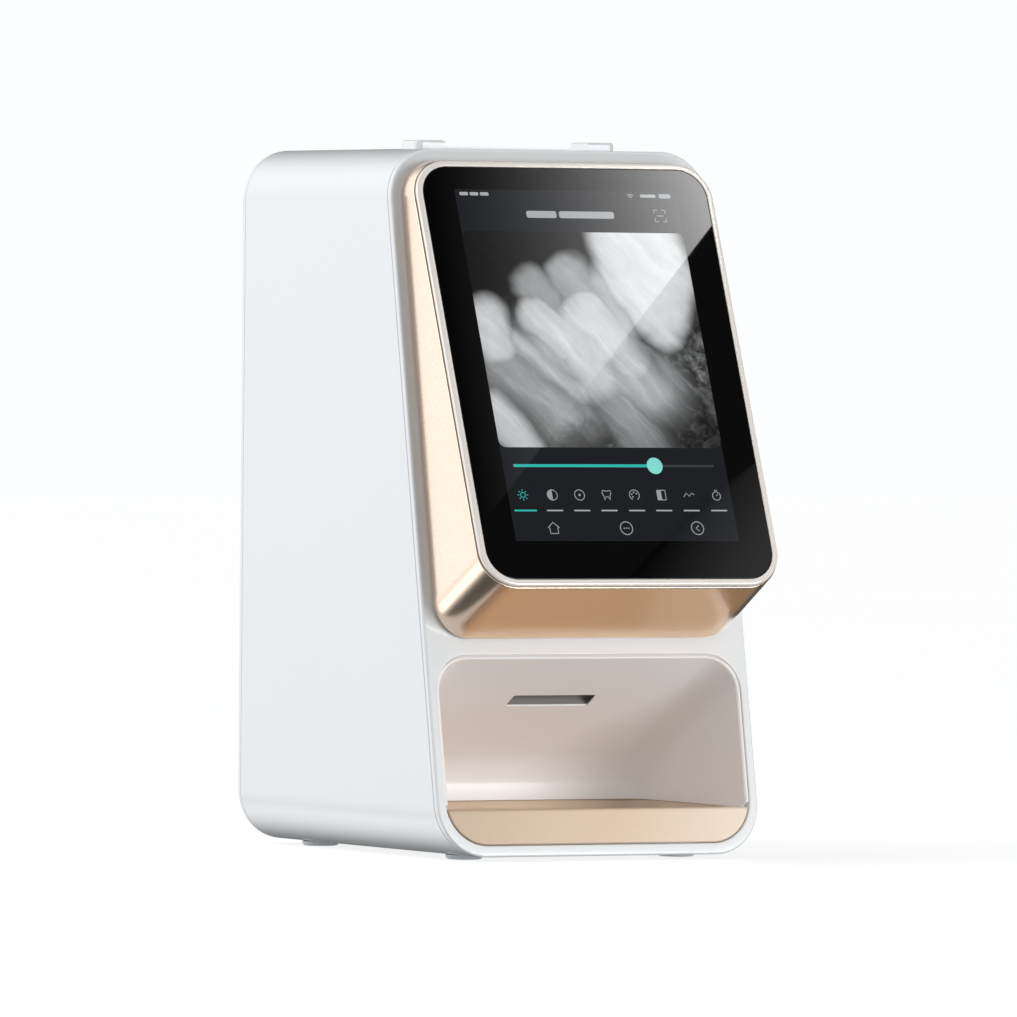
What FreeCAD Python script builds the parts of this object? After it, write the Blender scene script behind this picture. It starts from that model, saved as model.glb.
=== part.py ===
"""Desktop scanner for dental imaging plates: a white tube-shaped case cut on a slant at the front,
a gold display head with a touch screen, an open collection bay with a sliding tray, and inside it the
plate lift, the laser optics, the light collector and the electronics.

Millimetres. +X is the machine's left-to-right width seen from the front, +Y runs from the front to the
back, +Z is up. The origin is the centre of the bounding box's footprint, on the surface the feet rest on.
"""
import FreeCAD, Part
import math
import os
import Sketcher

Vector = FreeCAD.Vector

# alias, number, what it is
SIZES = [
    ("case_width", 155, "outside width of the case"),
    ("case_height", 302, "outside height of the case"),
    ("case_depth", 197, "depth of the case at its foot, rear cover included"),
    ("corner_radius", 22, "long outside corners of the case"),
    ("case_wall", 2.6, "wall of the case"),
    ("face_lean", 10.7, "degrees that the front face leans back"),
    ("foot_height", 2, "rubber foot under the case"),
    ("foot_radius", 8, "rubber foot"),
    ("foot_inset", 26, "foot centre from the case's sides"),
    ("frame_depth", 6, "front frame, measured along Y"),
    ("seam_gap", 0.4, "shadow line between case and frame"),
    ("skirt_depth", 5, "lip of the front frame inside the case"),
    ("fit_gap", 0.3, "clearance between parts that sit in each other"),
    ("cover_thick", 3, "rear cover"),
    ("rim_side", 4, "white rim beside the bay and the display head"),
    ("bay_low", 4.8, "lower edge of the bay opening above the case's underside"),
    ("bay_high", 85.5, "upper edge of the bay opening"),
    ("bay_depth", 101.5, "rear wall of the bay behind the front foot"),
    ("bay_rear_height", 38, "height where the bay's ceiling meets its rear wall"),
    ("bay_corner_step", 3, "lower corners of the bay inside the case's corner radius"),
    ("bay_high_radius", 16, "upper corners of the bay opening"),
    ("bay_rear_step", 4, "rear corners of the bay inside its lower corner radius"),
    ("bay_rear_bevel", 6, "bevel round the bay's rear wall"),
    ("liner_wall", 1.6, "bay liner"),
    ("liner_inset", 0.6, "liner's front edge behind the face"),
    ("tray_top", 20, "top of the collection tray above the case's underside"),
    ("tray_front", 3, "front strip of the tray"),
    ("tray_wall", 3, "rim and floor of the tray"),
    ("tray_gap", 0.5, "running gap of the tray"),
    ("head_low", 91.5, "lower edge of the display head's base above the case's underside"),
    ("head_rim", 5, "white rim above the display head"),
    ("head_radius", 17, "corners of the display head"),
    ("head_stand", 8.55, "display head's upper front edge ahead of the case's face, along Y"),
    ("head_wall", 3.2, "wall of the display head at its front"),
    ("base_wall", 5.4, "wall of the display head at its base"),
    ("screen_low", 115, "lower edge of the display head's front above the case's underside"),
    ("screen_lean", 22, "degrees that the screen leans back"),
    ("screen_drop", 5.3, "upper edge of the display head's front below the case's roof"),
    ("screen_width", 145, "display head's front"),
    ("ring_inset", 0.6, "bezel ring inside the head's edge"),
    ("ring_width", 2.8, "bezel ring"),
    ("ring_proud", 2.2, "bezel ring ahead of the head's rim"),
    ("glass_thick", 1.8, "cover glass"),
    ("glass_gap", 0.1, "gap round the cover glass"),
    ("lcd_width", 114, "display panel"),
    ("lcd_length", 168, "display panel"),
    ("lcd_low", 18, "display panel above the head's lower front edge"),
    ("lcd_thick", 3.2, "display panel"),
    ("feed_offset", 37, "plate path behind the front face, along Y"),
    ("slot_width", 43.5, "plate exit in the bay's ceiling"),
    ("slot_depth", 7.5, "plate exit"),
    ("inlet_width", 66, "plate inlet in the top"),
    ("inlet_depth", 8, "plate inlet"),
    ("cheek_width", 15.5, "raised guide at each end of the inlet"),
    ("cheek_height", 4, "raised guide above the case"),
    ("cheek_depth", 16, "raised guide along Y"),
    ("flange_thick", 1.2, "inlet guide's flange"),
    ("chassis_y", 16, "front of the chassis plate behind the plate path"),
    ("sheet", 1.6, "chassis sheet metal"),
    ("rod_clear", 11, "guide rods beside the inlet's ends"),
    ("rod_y", 4, "rods and screw behind the plate path"),
    ("rod_radius", 2.5, "guide rod"),
    ("screw_clear", 14, "lead screw beside the right guide rod"),
    ("screw_radius", 3, "lead screw"),
    ("block_low", 112, "lower bearing block along the path"),
    ("block_high", 270, "upper bearing block along the path"),
    ("block_thick", 8, "bearing block"),
    ("carriage_low", 222, "parked carriage along the path"),
    ("carriage_height", 46, "carriage"),
    ("motor_size", 28, "square of the stepper motor"),
    ("scan_line", 196, "laser line along the path"),
    ("optics_depth", 52, "optics housing"),
    ("optics_width", 68, "optics housing"),
    ("board_thick", 1.6, "circuit boards"),
    ("fan_size", 40, "cooling fan"),
    ("fan_depth", 10, "cooling fan"),
    ("fan_height", 268, "fan centre above the case's underside"),
    ("port_height", 22, "row of sockets above the case's underside"),
]


class Dim:
    """A size that knows its number now and its formula in the spreadsheet."""

    def __init__(self, value, text):
        self.value = float(value)
        self.text = text

    def join(self, other, sign, flip=False):
        other = as_dim(other)
        a, b = (other, self) if flip else (self, other)
        result = {
            "+": lambda: a.value + b.value,
            "-": lambda: a.value - b.value,
            "*": lambda: a.value * b.value,
            "/": lambda: a.value / b.value,
        }[sign]()
        return Dim(result, f"({a.text} {sign} {b.text})")

    def __add__(self, other):
        return self.join(other, "+")

    def __radd__(self, other):
        return self.join(other, "+", True)

    def __sub__(self, other):
        return self.join(other, "-")

    def __rsub__(self, other):
        return self.join(other, "-", True)

    def __mul__(self, other):
        return self.join(other, "*")

    def __rmul__(self, other):
        return self.join(other, "*", True)

    def __truediv__(self, other):
        return self.join(other, "/")

    def __rtruediv__(self, other):
        return self.join(other, "/", True)

    def __neg__(self):
        return self.join(0, "-", True)


def as_dim(x):
    return x if isinstance(x, Dim) else Dim(x, repr(float(x)))


def trig(name, angle):
    """sin, cos or tan of an angle in degrees."""
    return Dim(getattr(math, name)(math.radians(angle.value)), f"{name}({angle.text})")


doc = FreeCAD.newDocument("plate_scanner")
sheet = doc.addObject("Spreadsheet::Sheet", "Sizes")
for row, (alias, number, note) in enumerate(SIZES, 1):
    sheet.set(f"A{row}", alias)
    sheet.set(f"B{row}", str(number))
    sheet.set(f"C{row}", note)
    sheet.setAlias(f"B{row}", alias)
doc.recompute()
size = {alias: Dim(number, f"Sizes.{alias}") for alias, number, note in SIZES}

# ---------------------------------------------------------------- driving places
lean_sin, lean_cos, lean_tan = (trig(f, size["face_lean"]) for f in ("sin", "cos", "tan"))
tilt_sin, tilt_cos = (trig(f, size["screen_lean"]) for f in ("sin", "cos"))
screen_length = (size["case_height"] - size["screen_low"] - size["screen_drop"]) / tilt_cos
screen_run = (size["case_height"] - size["screen_drop"]) * lean_tan
head_reach = screen_length * tilt_sin - screen_run + size["head_stand"]
ring_reach = size["ring_proud"] * tilt_cos - size["ring_inset"] * tilt_sin
front_y = -(size["case_depth"] - head_reach - ring_reach) / 2
rear_y = front_y + size["case_depth"]
base_z = size["foot_height"]
top_z = base_z + size["case_height"]
half_width = size["case_width"] / 2
inner_half = half_width - size["case_wall"]
cover_y = rear_y - size["cover_thick"]
feed_y = front_y + size["feed_offset"]
screen_y = front_y - head_reach
screen_z = base_z + size["screen_low"]
bay_low_radius = size["corner_radius"] - size["bay_corner_step"]


def face_y(z):
    """Y of the front face at a height."""
    return front_y + (z - base_z) * lean_tan


def feed_world(y, z):
    """World Y and Z of a point given in the plate path's own frame."""
    return feed_y + y * lean_cos + z * lean_sin, base_z + z * lean_cos - y * lean_sin


# ---------------------------------------------------------------- helpers
def bind(obj, path, dim):
    obj.setExpression(path, dim.text)


def put(obj, x=0, y=0, z=0, tilt=None):
    """Places an object, leaning back by tilt degrees about X."""
    angle = 0.0 if tilt is None else as_dim(tilt).value
    x, y, z = as_dim(x), as_dim(y), as_dim(z)
    turn = FreeCAD.Rotation(Vector(-1, 0, 0), angle)
    obj.Placement = FreeCAD.Placement(Vector(x.value, y.value, z.value), turn)
    for name, dim in (("x", x), ("y", y), ("z", z)):
        bind(obj, f"Placement.Base.{name}", dim)
    if tilt is not None:
        bind(obj, "Placement.Rotation.Angle", as_dim(tilt))


def new_body(label):
    body = doc.addObject("PartDesign::Body", label)
    body.Label = label
    nodes.append(body)
    return body


def feed_body(label):
    """A body whose own frame follows the plate path: y behind the path, z along it."""
    body = new_body(label)
    put(body, 0, feed_y, base_z, size["face_lean"])
    return body


def screen_body(label):
    """A body whose own frame lies on the display head's front: y behind it, z along its slope."""
    body = new_body(label)
    put(body, 0, screen_y, screen_z, size["screen_lean"])
    return body


def sketch_on(body, plane, offset=0.0, base_y=0.0, tilt=None):
    """A sketch on one of the body's origin planes, moved along the plane's normal."""
    sketch = body.newObject("Sketcher::SketchObject", f"{body.Name}_sketch")
    support = [f for f in body.Origin.OriginFeatures if f.Role == f"{plane}_Plane"][0]
    sketch.AttachmentSupport = [(support, "")]
    sketch.MapMode = "FlatFace"
    offset, base_y = as_dim(offset), as_dim(base_y)
    turn = FreeCAD.Rotation(Vector(-1, 0, 0), 0.0 if tilt is None else tilt.value)
    sketch.AttachmentOffset = FreeCAD.Placement(Vector(0, base_y.value, offset.value), turn)
    bind(sketch, "AttachmentOffset.Base.z", offset)
    bind(sketch, "AttachmentOffset.Base.y", base_y)
    if tilt is not None:
        bind(sketch, "AttachmentOffset.Rotation.Angle", tilt)
    return sketch


def fix(sketch, kind, geo, point, dim):
    """Holds a point's X or Y distance from the sketch's origin to a size."""
    dim = as_dim(dim)
    index = sketch.addConstraint(Sketcher.Constraint(kind, -1, 1, geo, point, dim.value))
    bind(sketch, f"Constraints[{index}]", dim)


def draw_polygon(sketch, points):
    """A closed outline of straight sides through the points."""
    spots = [(as_dim(x), as_dim(y)) for x, y in points]
    first = sketch.GeometryCount
    count = len(spots)
    for i, (x, y) in enumerate(spots):
        x2, y2 = spots[(i + 1) % count]
        line = Part.LineSegment(Vector(x.value, y.value, 0), Vector(x2.value, y2.value, 0))
        sketch.addGeometry(line, False)
    for i in range(count):
        joint = Sketcher.Constraint("Coincident", first + i, 2, first + (i + 1) % count, 1)
        sketch.addConstraint(joint)
    for i, (x, y) in enumerate(spots):
        fix(sketch, "DistanceX", first + i, 1, x)
        fix(sketch, "DistanceY", first + i, 1, y)


def draw_rounded(sketch, left, right, low, high, radius, radius_high=None):
    """A rectangle with rounded corners, drawn anticlockwise from its lower side."""
    radius_high = radius if radius_high is None else radius_high
    left, right, low, high = (as_dim(v) for v in (left, right, low, high))
    r, rh = as_dim(radius), as_dim(radius_high)
    first = sketch.GeometryCount
    x0, x1, y0, y1, a, b = left.value, right.value, low.value, high.value, r.value, rh.value

    def arc(cx, cy, rad, start):
        circle = Part.Circle(Vector(cx, cy, 0), Vector(0, 0, 1), rad)
        return Part.ArcOfCircle(circle, math.radians(start), math.radians(start + 90))

    for geometry in (
        Part.LineSegment(Vector(x0 + a, y0, 0), Vector(x1 - a, y0, 0)),
        arc(x1 - a, y0 + a, a, 270),
        Part.LineSegment(Vector(x1, y0 + a, 0), Vector(x1, y1 - b, 0)),
        arc(x1 - b, y1 - b, b, 0),
        Part.LineSegment(Vector(x1 - b, y1, 0), Vector(x0 + b, y1, 0)),
        arc(x0 + b, y1 - b, b, 90),
        Part.LineSegment(Vector(x0, y1 - b, 0), Vector(x0, y0 + a, 0)),
        arc(x0 + a, y0 + a, a, 180),
    ):
        sketch.addGeometry(geometry, False)
    for i in range(8):
        sketch.addConstraint(Sketcher.Constraint("Tangent", first + i, 2, first + (i + 1) % 8, 1))
    for i, kind in ((0, "Horizontal"), (4, "Horizontal"), (2, "Vertical"), (6, "Vertical")):
        sketch.addConstraint(Sketcher.Constraint(kind, first + i))
    for pair in ((1, 7), (3, 5)):
        sketch.addConstraint(Sketcher.Constraint("Equal", first + pair[0], first + pair[1]))
    for i, dim in ((1, r), (3, rh)):
        index = sketch.addConstraint(Sketcher.Constraint("Radius", first + i, dim.value))
        bind(sketch, f"Constraints[{index}]", dim)
    fix(sketch, "DistanceX", first + 6, 1, left)
    fix(sketch, "DistanceX", first + 2, 1, right)
    fix(sketch, "DistanceY", first, 1, low)
    fix(sketch, "DistanceY", first + 4, 1, high)


def draw_box(sketch, left, right, low, high):
    draw_polygon(sketch, [(left, low), (right, low), (right, high), (left, high)])


def draw_circle(sketch, x, y, radius):
    x, y, radius = as_dim(x), as_dim(y), as_dim(radius)
    index = sketch.addGeometry(Part.Circle(Vector(x.value, y.value, 0), Vector(0, 0, 1), radius.value), False)
    fix(sketch, "DistanceX", index, 3, x)
    fix(sketch, "DistanceY", index, 3, y)
    held = sketch.addConstraint(Sketcher.Constraint("Radius", index, radius.value))
    bind(sketch, f"Constraints[{held}]", radius)


def pad(body, sketch, length, side="One side", back=False):
    """Adds the sketch's area, along its normal, against it (back) or to both sides."""
    feature = body.newObject("PartDesign::Pad", f"{body.Name}_pad")
    feature.Profile = sketch
    feature.SideType = side
    feature.Reversed = back
    length = as_dim(length)
    feature.Length = length.value
    bind(feature, "Length", length)
    doc.recompute()
    return feature


def cut(body, sketch, length=None, side="One side", back=False):
    """Takes the sketch's area out of the body. With no length it cuts right through."""
    before = body.Tip.Shape.Volume
    feature = body.newObject("PartDesign::Pocket", f"{body.Name}_pocket")
    feature.Profile = sketch
    feature.SideType = side
    feature.Reversed = back
    if length is None:
        feature.Type = "ThroughAll"
    else:
        length = as_dim(length)
        feature.Length = length.value
        bind(feature, "Length", length)
    doc.recompute()
    if not feature.Shape.Volume < before - 1e-3:
        raise RuntimeError(f"{feature.Name} removes nothing")
    return feature


def round_edges(body, radius, test, kind="PartDesign::Fillet"):
    """Fillets or chamfers every edge of the body's tip that passes the test on its middle and direction."""
    tip = body.Tip
    chosen = []
    for number, edge in enumerate(tip.Shape.Edges, 1):
        low, high = edge.ParameterRange
        middle = edge.valueAt((low + high) / 2)
        direction = edge.valueAt(high) - edge.valueAt(low)
        if direction.Length > 1e-6 and test(middle, direction.normalize()):
            chosen.append(f"Edge{number}")
    if not chosen:
        raise RuntimeError(f"{body.Name} has no edge to round")
    feature = body.newObject(kind, f"{body.Name}_edges")
    feature.Base = (tip, chosen)
    radius = as_dim(radius)
    path = "Radius" if kind.endswith("Fillet") else "Size"
    setattr(feature, path, radius.value)
    bind(feature, path, radius)
    doc.recompute()
    return feature


def along_y(middle, direction):
    return abs(direction.y) > 0.999


def block(body, x0, x1, y0, y1, z0, z1, radius=None):
    """A bar along the body's Y axis from y0 to y1, its outline drawn in X and Z."""
    sketch = sketch_on(body, "XZ", -as_dim(y0))
    if radius is None:
        draw_box(sketch, x0, x1, z0, z1)
    else:
        draw_rounded(sketch, x0, x1, z0, z1, radius)
    return pad(body, sketch, as_dim(y1) - y0, back=True)


def opening(body, x0, x1, y0, y1, z0, z1, radius=None, radius_high=None):
    """Cuts a bar along Y out of the body."""
    sketch = sketch_on(body, "XZ", -as_dim(y0))
    if radius is None:
        draw_box(sketch, x0, x1, z0, z1)
    else:
        draw_rounded(sketch, x0, x1, z0, z1, radius, radius_high)
    return cut(body, sketch, as_dim(y1) - y0)


def side_slab(body, points, half):
    """Adds a side profile, given in Y and Z, to both sides of the middle plane."""
    sketch = sketch_on(body, "YZ")
    draw_polygon(sketch, points)
    return pad(body, sketch, as_dim(half) * 2, side="Symmetric")


def side_cut(body, points, half):
    sketch = sketch_on(body, "YZ")
    draw_polygon(sketch, points)
    return cut(body, sketch, as_dim(half) * 2, side="Symmetric")


def posts(body, spots, radius, y0, y1):
    """Round posts along Y at (x, z) spots."""
    sketch = sketch_on(body, "XZ", -as_dim(y0))
    for x, z in spots:
        draw_circle(sketch, x, z, radius)
    return pad(body, sketch, as_dim(y1) - y0, back=True)


def bores(body, spots, radius, y0, y1):
    """Round holes along Y at (x, z) spots."""
    sketch = sketch_on(body, "XZ", -as_dim(y0))
    for x, z in spots:
        draw_circle(sketch, x, z, radius)
    return cut(body, sketch, as_dim(y1) - y0)


nodes = []

# ---------------------------------------------------------------- shared outlines
def face_band(near, far, low, high):
    """Side profile between two planes parallel to the front face, near and far behind it along Y."""
    return [
        (face_y(low) + near, low),
        (face_y(low) + far, low),
        (face_y(high) + far, high),
        (face_y(high) + near, high),
    ]


def bay_solid(label, grow, front_profile=None):
    """The bay's hollow as a solid, grown outwards; a side profile can cut its front off."""
    body = doc.addObject("PartDesign::Body", label)
    side = half_width - size["rim_side"] + grow
    low = base_z + size["bay_low"] - grow
    high = base_z + size["bay_high"] + grow
    mouth_y = face_y(base_z + size["bay_high"])
    far = front_y + size["bay_depth"] + grow
    round_low = bay_low_radius + grow
    round_high = size["bay_high_radius"] + grow
    mouth = sketch_on(body, "XZ", -mouth_y)
    draw_rounded(mouth, -side, side, low, high, round_low, round_high)
    bevel = size["bay_rear_bevel"]
    corner = bay_low_radius - size["bay_rear_step"] + grow
    roof = base_z + size["bay_rear_height"] + grow
    rear = sketch_on(body, "XZ", -(far - bevel))
    draw_rounded(rear, -side, side, low, roof, corner)
    end = sketch_on(body, "XZ", -far)
    draw_rounded(end, bevel - side, side - bevel, low + bevel, roof - bevel, corner - bevel)
    loft = body.newObject("PartDesign::AdditiveLoft", f"{label}_loft")
    loft.Profile = mouth
    loft.Sections = [rear, end]
    loft.Ruled = True
    doc.recompute()
    lip = sketch_on(body, "XZ", -mouth_y)
    draw_rounded(lip, -side, side, low, high, round_low, round_high)
    pad(body, lip, mouth_y - front_y + 6)
    if front_profile:
        side_cut(body, front_profile, half_width)
    return body


bay_side = half_width - size["rim_side"]
ahead = front_y - 8
above = base_z + 110
below = base_z - 4

# ---------------------------------------------------------------- main_casing: the white tube
casing = new_body("main_casing")
tube_front = size["frame_depth"] + size["seam_gap"]
side_slab(
    casing,
    [
        (face_y(base_z) + tube_front, base_z),
        (cover_y, base_z),
        (cover_y, top_z),
        (face_y(top_z) + tube_front, top_z),
    ],
    half_width,
)
round_edges(casing, size["corner_radius"], along_y)
inner_radius = size["corner_radius"] - size["case_wall"]
hollow = sketch_on(casing, "XZ", -front_y)
inner_low = base_z + size["case_wall"]
inner_high = top_z - size["case_wall"]
draw_rounded(hollow, -inner_half, inner_half, inner_low, inner_high, inner_radius)
cut(casing, hollow)
# threaded bosses for the rear cover, one in each corner
boss_in = size["case_wall"] + 2 + inner_radius * 0.28
boss_x = half_width - boss_in
boss_spots = [(sx * boss_x, z) for sx in (-1, 1) for z in (base_z + boss_in, top_z - boss_in)]
posts(casing, boss_spots, 4.2, cover_y - 12, cover_y)
bores(casing, boss_spots, 1.5, cover_y - 10, cover_y + 1)
# hole in the roof for the inlet guide's neck
inlet_y = feed_y + (top_z - base_z) * lean_tan
roof_hole = sketch_on(casing, "XY", top_z + 1)
neck_x = size["inlet_width"] / 2 + 2.2
neck_y = size["inlet_depth"] / 2 + 3.4
draw_box(
    roof_hole,
    -neck_x - size["fit_gap"],
    neck_x + size["fit_gap"],
    inlet_y - neck_y - size["fit_gap"],
    inlet_y + neck_y + size["fit_gap"],
)
cut(casing, roof_hole, size["case_wall"] + 2)

# ---------------------------------------------------------------- front_frame: white rim that carries the head
frame = new_body("front_frame")
skirt_side = inner_half - size["fit_gap"]
skirt_low = inner_low + size["fit_gap"]
skirt_high = inner_high - size["fit_gap"]
skirt_radius = inner_radius - size["fit_gap"]
block(frame, -skirt_side, skirt_side, front_y - 4, front_y + 90, skirt_low, skirt_high, skirt_radius)
inside = sketch_on(frame, "XZ", -front_y)
draw_rounded(inside, -bay_side, bay_side, skirt_low + 1.9, skirt_high - 1.9, skirt_radius - 1.5)
cut(frame, inside, None, side="Two sides")
far_edge = size["frame_depth"] + size["skirt_depth"]
side_cut(frame, face_band(-90, size["frame_depth"] - 1, base_z - 4, top_z + 4), half_width)
side_cut(frame, face_band(far_edge, far_edge + 120, base_z - 4, top_z + 4), half_width)
side_slab(frame, face_band(0, size["frame_depth"], base_z, top_z), half_width)
round_edges(frame, size["corner_radius"], lambda m, d: along_y(m, d) and abs(m.x) > half_width.value - 0.01)
opening(
    frame,
    -bay_side,
    bay_side,
    front_y - 4,
    front_y + 60,
    base_z + size["bay_low"],
    base_z + size["bay_high"],
    bay_low_radius,
    size["bay_high_radius"],
)
head_low = size["head_low"] / lean_cos
head_high = (size["case_height"] - size["head_rim"]) / lean_cos
window = sketch_on(frame, "XZ", -front_y, base_z, size["face_lean"])
draw_rounded(window, -bay_side + 11, bay_side - 11, head_low + 11, head_high - 11, 8)
cut(frame, window, 60, side="Symmetric")


def on_outer_rim(middle, direction):
    """True for the front frame's outer front edges."""
    if abs(middle.y - face_y(middle.z).value) > 0.02:
        return False
    side = half_width.value - size["corner_radius"].value
    rise = (top_z - base_z).value / 2
    x_out = max(abs(middle.x) - side, 0)
    z_out = max(abs(middle.z - base_z.value - rise) - rise + size["corner_radius"].value, 0)
    return math.hypot(x_out, z_out) > size["corner_radius"].value - 0.6


round_edges(frame, 1, on_outer_rim)

# ---------------------------------------------------------------- bay_liner and exit_chute
EDGE = size["fit_gap"]
INNER = -EDGE - size["liner_wall"]
strip_top = base_z + size["tray_top"] + 0.5
stepped = [
    (ahead, below),
    (face_y(below) + size["tray_front"] + 0.5, below),
    (face_y(strip_top) + size["tray_front"] + 0.5, strip_top),
    (face_y(strip_top) + size["liner_inset"], strip_top),
    (face_y(above) + size["liner_inset"], above),
    (ahead, above),
]
liner_shell = bay_solid("liner_outside", -EDGE, stepped)
bay_hollow = bay_solid("bay_hollow", INNER)
chute_hole = doc.addObject("PartDesign::Body", "chute_hole")
put(chute_hole, 0, feed_y, base_z, size["face_lean"])
hole_x = size["slot_width"] / 2 + 1.7
hole_y = size["slot_depth"] / 2 + 1.7
block(chute_hole, -hole_x, hole_x, -hole_y, hole_y, 40, 104)
bay_tools = doc.addObject("Part::MultiFuse", "bay_and_chute_hole")
bay_tools.Shapes = [bay_hollow, chute_hole]


def subtract(label, base, tool):
    """A node made of one body less another."""
    result = doc.addObject("Part::Cut", label)
    result.Label = label
    result.Base = base
    result.Tool = tool
    nodes.append(result)
    return result


liner = subtract("bay_liner", liner_shell, bay_tools)

chute_blank = doc.addObject("PartDesign::Body", "chute_blank")
put(chute_blank, 0, feed_y, base_z, size["face_lean"])
chute_x = size["slot_width"] / 2 + 1.4
chute_y = size["slot_depth"] / 2 + 1.4
block(chute_blank, -chute_x, chute_x, -chute_y, chute_y, 50, 106)
flange_half = size["inlet_width"] / 2 + 3
block(chute_blank, -flange_half, flange_half, -8, 8, 104, 106)
opening(
    chute_blank,
    -size["slot_width"] / 2,
    size["slot_width"] / 2,
    -size["slot_depth"] / 2,
    size["slot_depth"] / 2,
    49,
    107,
)
chute = subtract("exit_chute", chute_blank, bay_hollow)

# ---------------------------------------------------------------- collection_tray
tray = new_body("collection_tray")
strip_side = bay_side - 0.4
strip_low = base_z + size["bay_low"] + 0.4
tray_high = base_z + size["tray_top"]
block(tray, -strip_side, strip_side, ahead, front_y + 30, strip_low, base_z + 80, bay_low_radius - 0.4)
before_face = [(ahead - 1, below), (face_y(below), below), (face_y(above), above), (ahead - 1, above)]
side_cut(tray, before_face, half_width)
side_cut(tray, face_band(size["tray_front"], 60, below, above), half_width)
side_cut(tray, face_band(-20, 60, tray_high, above), half_width)
pan_side = bay_side + INNER - size["tray_gap"]
pan_low = base_z + size["bay_low"] - INNER + size["tray_gap"]
pan_rear = front_y + size["bay_depth"] + INNER - 1
pan_radius = bay_low_radius + INNER - size["tray_gap"]
pan_front = front_y + size["tray_front"] + 1.1
block(tray, -pan_side, pan_side, pan_front, pan_rear, pan_low, base_z + 60, pan_radius)
rear_bevel = size["bay_rear_bevel"] + 0.6
round_edges(tray, rear_bevel, lambda m, d: m.y > pan_rear.value - 0.01, "PartDesign::Chamfer")
side_cut(tray, face_band(-20, 160, tray_high, above), half_width)
dish = sketch_on(tray, "XY", tray_high)
dish_side = pan_side - size["tray_wall"]
draw_rounded(dish, -dish_side, dish_side, front_y + 9, pan_rear - size["tray_wall"], 8)
cut(tray, dish, 6)
under = sketch_on(tray, "XY", pan_low)
draw_rounded(under, -50, 50, front_y + 14, pan_rear - 14, 8)
cut(tray, under, 3.8, back=True)

# ---------------------------------------------------------------- rear_cover, its screws and the feet
cover = new_body("rear_cover")
block(cover, -half_width, half_width, cover_y, rear_y, base_z, top_z, size["corner_radius"])
round_edges(cover, 1.2, lambda m, d: m.y > rear_y.value - 0.01)
bores(cover, boss_spots, 1.7, cover_y - 1, rear_y + 1)
bores(cover, boss_spots, 3.2, cover_y + 1, rear_y + 1)
fan_z = base_z + size["fan_height"]
vents = sketch_on(cover, "XZ", -(cover_y - 1))
for number in range(-3, 4):
    reach = math.sqrt(17.0**2 - (number * 4.8) ** 2)
    draw_box(vents, number * 4.8 - 1.2, number * 4.8 + 1.2, fan_z - reach, fan_z + reach)
for number in range(-6, 7):
    draw_box(vents, number * 6 - 1.2, number * 6 + 1.2, base_z + 56, base_z + 78)
cut(cover, vents, size["cover_thick"] + 2)
port_z = base_z + size["port_height"]
# middle, half width and half height of each socket
PORTS = {
    "power_inlet": (-48, 6, 6),
    "usb_port": (-26, 6.5, 3.6),
    "lan_port": (-2, 8, 6.8),
    "switch_frame": (46, 8, 11),
}
sockets = sketch_on(cover, "XZ", -(cover_y - 1))
for x, half_x, half_z in PORTS.values():
    gap = size["fit_gap"]
    draw_box(sockets, x - half_x - gap, x + half_x + gap, port_z - half_z - gap, port_z + half_z + gap)
cut(cover, sockets, size["cover_thick"] + 2)

cover_screws = new_body("cover_screws")
posts(cover_screws, boss_spots, 1.5, rear_y - 12.5, rear_y - 1.8)
posts(cover_screws, boss_spots, 3, cover_y + 1, rear_y - 0.3)

feet = new_body("rubber_feet")
pads = sketch_on(feet, "XY", 0)
for sx in (-1, 1):
    for y in (front_y + 30, rear_y - 30):
        draw_circle(pads, sx * (half_width - size["foot_inset"]), y, size["foot_radius"])
pad(feet, pads, size["foot_height"])

# ---------------------------------------------------------------- inlet_guide, inlet_flap, flap_pin
guide = new_body("inlet_guide")
cheek_y = size["cheek_depth"] / 2
plate = sketch_on(guide, "XY", top_z)
cheek_out = size["inlet_width"] / 2 + size["cheek_width"]
draw_rounded(plate, -cheek_out, cheek_out, inlet_y - cheek_y, inlet_y + cheek_y, 3)
pad(guide, plate, size["cheek_height"])
lowered = [
    (-size["inlet_width"] / 2 - 1, top_z + size["flange_thick"]),
    (size["inlet_width"] / 2 + 1, top_z + size["flange_thick"]),
    (size["inlet_width"] / 2 + 3.5, top_z + 9),
    (-size["inlet_width"] / 2 - 3.5, top_z + 9),
]
dip = sketch_on(guide, "XZ", -(inlet_y - cheek_y - 1))
draw_polygon(dip, lowered)
cut(guide, dip, size["cheek_depth"] + 2)
round_edges(guide, 1.2, lambda m, d: m.z > (top_z + size["cheek_height"]).value - 0.01)
neck = sketch_on(guide, "XY", top_z)
neck_low = size["case_wall"] + 4
draw_box(neck, -neck_x, neck_x, inlet_y - neck_y, inlet_y + neck_y)
pad(guide, neck, neck_low, back=True)
pin_z = top_z - neck_low - 2.6
pin_y = inlet_y + neck_y - 1.6
lug_in = size["inlet_width"] / 2 + 0.4
for sx in (-1, 1):
    lug = sketch_on(guide, "YZ", lug_in if sx > 0 else -neck_x)
    draw_box(lug, pin_y - 3, pin_y + 1.6, pin_z - 3, top_z - neck_low)
    pad(guide, lug, neck_x - lug_in)
hinge_hole = sketch_on(guide, "YZ", -neck_x - 1)
draw_circle(hinge_hole, pin_y, pin_z, 1)
cut(guide, hinge_hole, neck_x * 2 + 2, back=True)
throat_y = size["inlet_depth"] / 2
mouth_low = top_z - neck_low - 12
mouth_high = top_z + 9
throat = [
    (feed_y + (mouth_low - base_z) * lean_tan - throat_y, mouth_low),
    (feed_y + (mouth_low - base_z) * lean_tan + throat_y, mouth_low),
    (feed_y + (mouth_high - base_z) * lean_tan + throat_y, mouth_high),
    (feed_y + (mouth_high - base_z) * lean_tan - throat_y, mouth_high),
]
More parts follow.
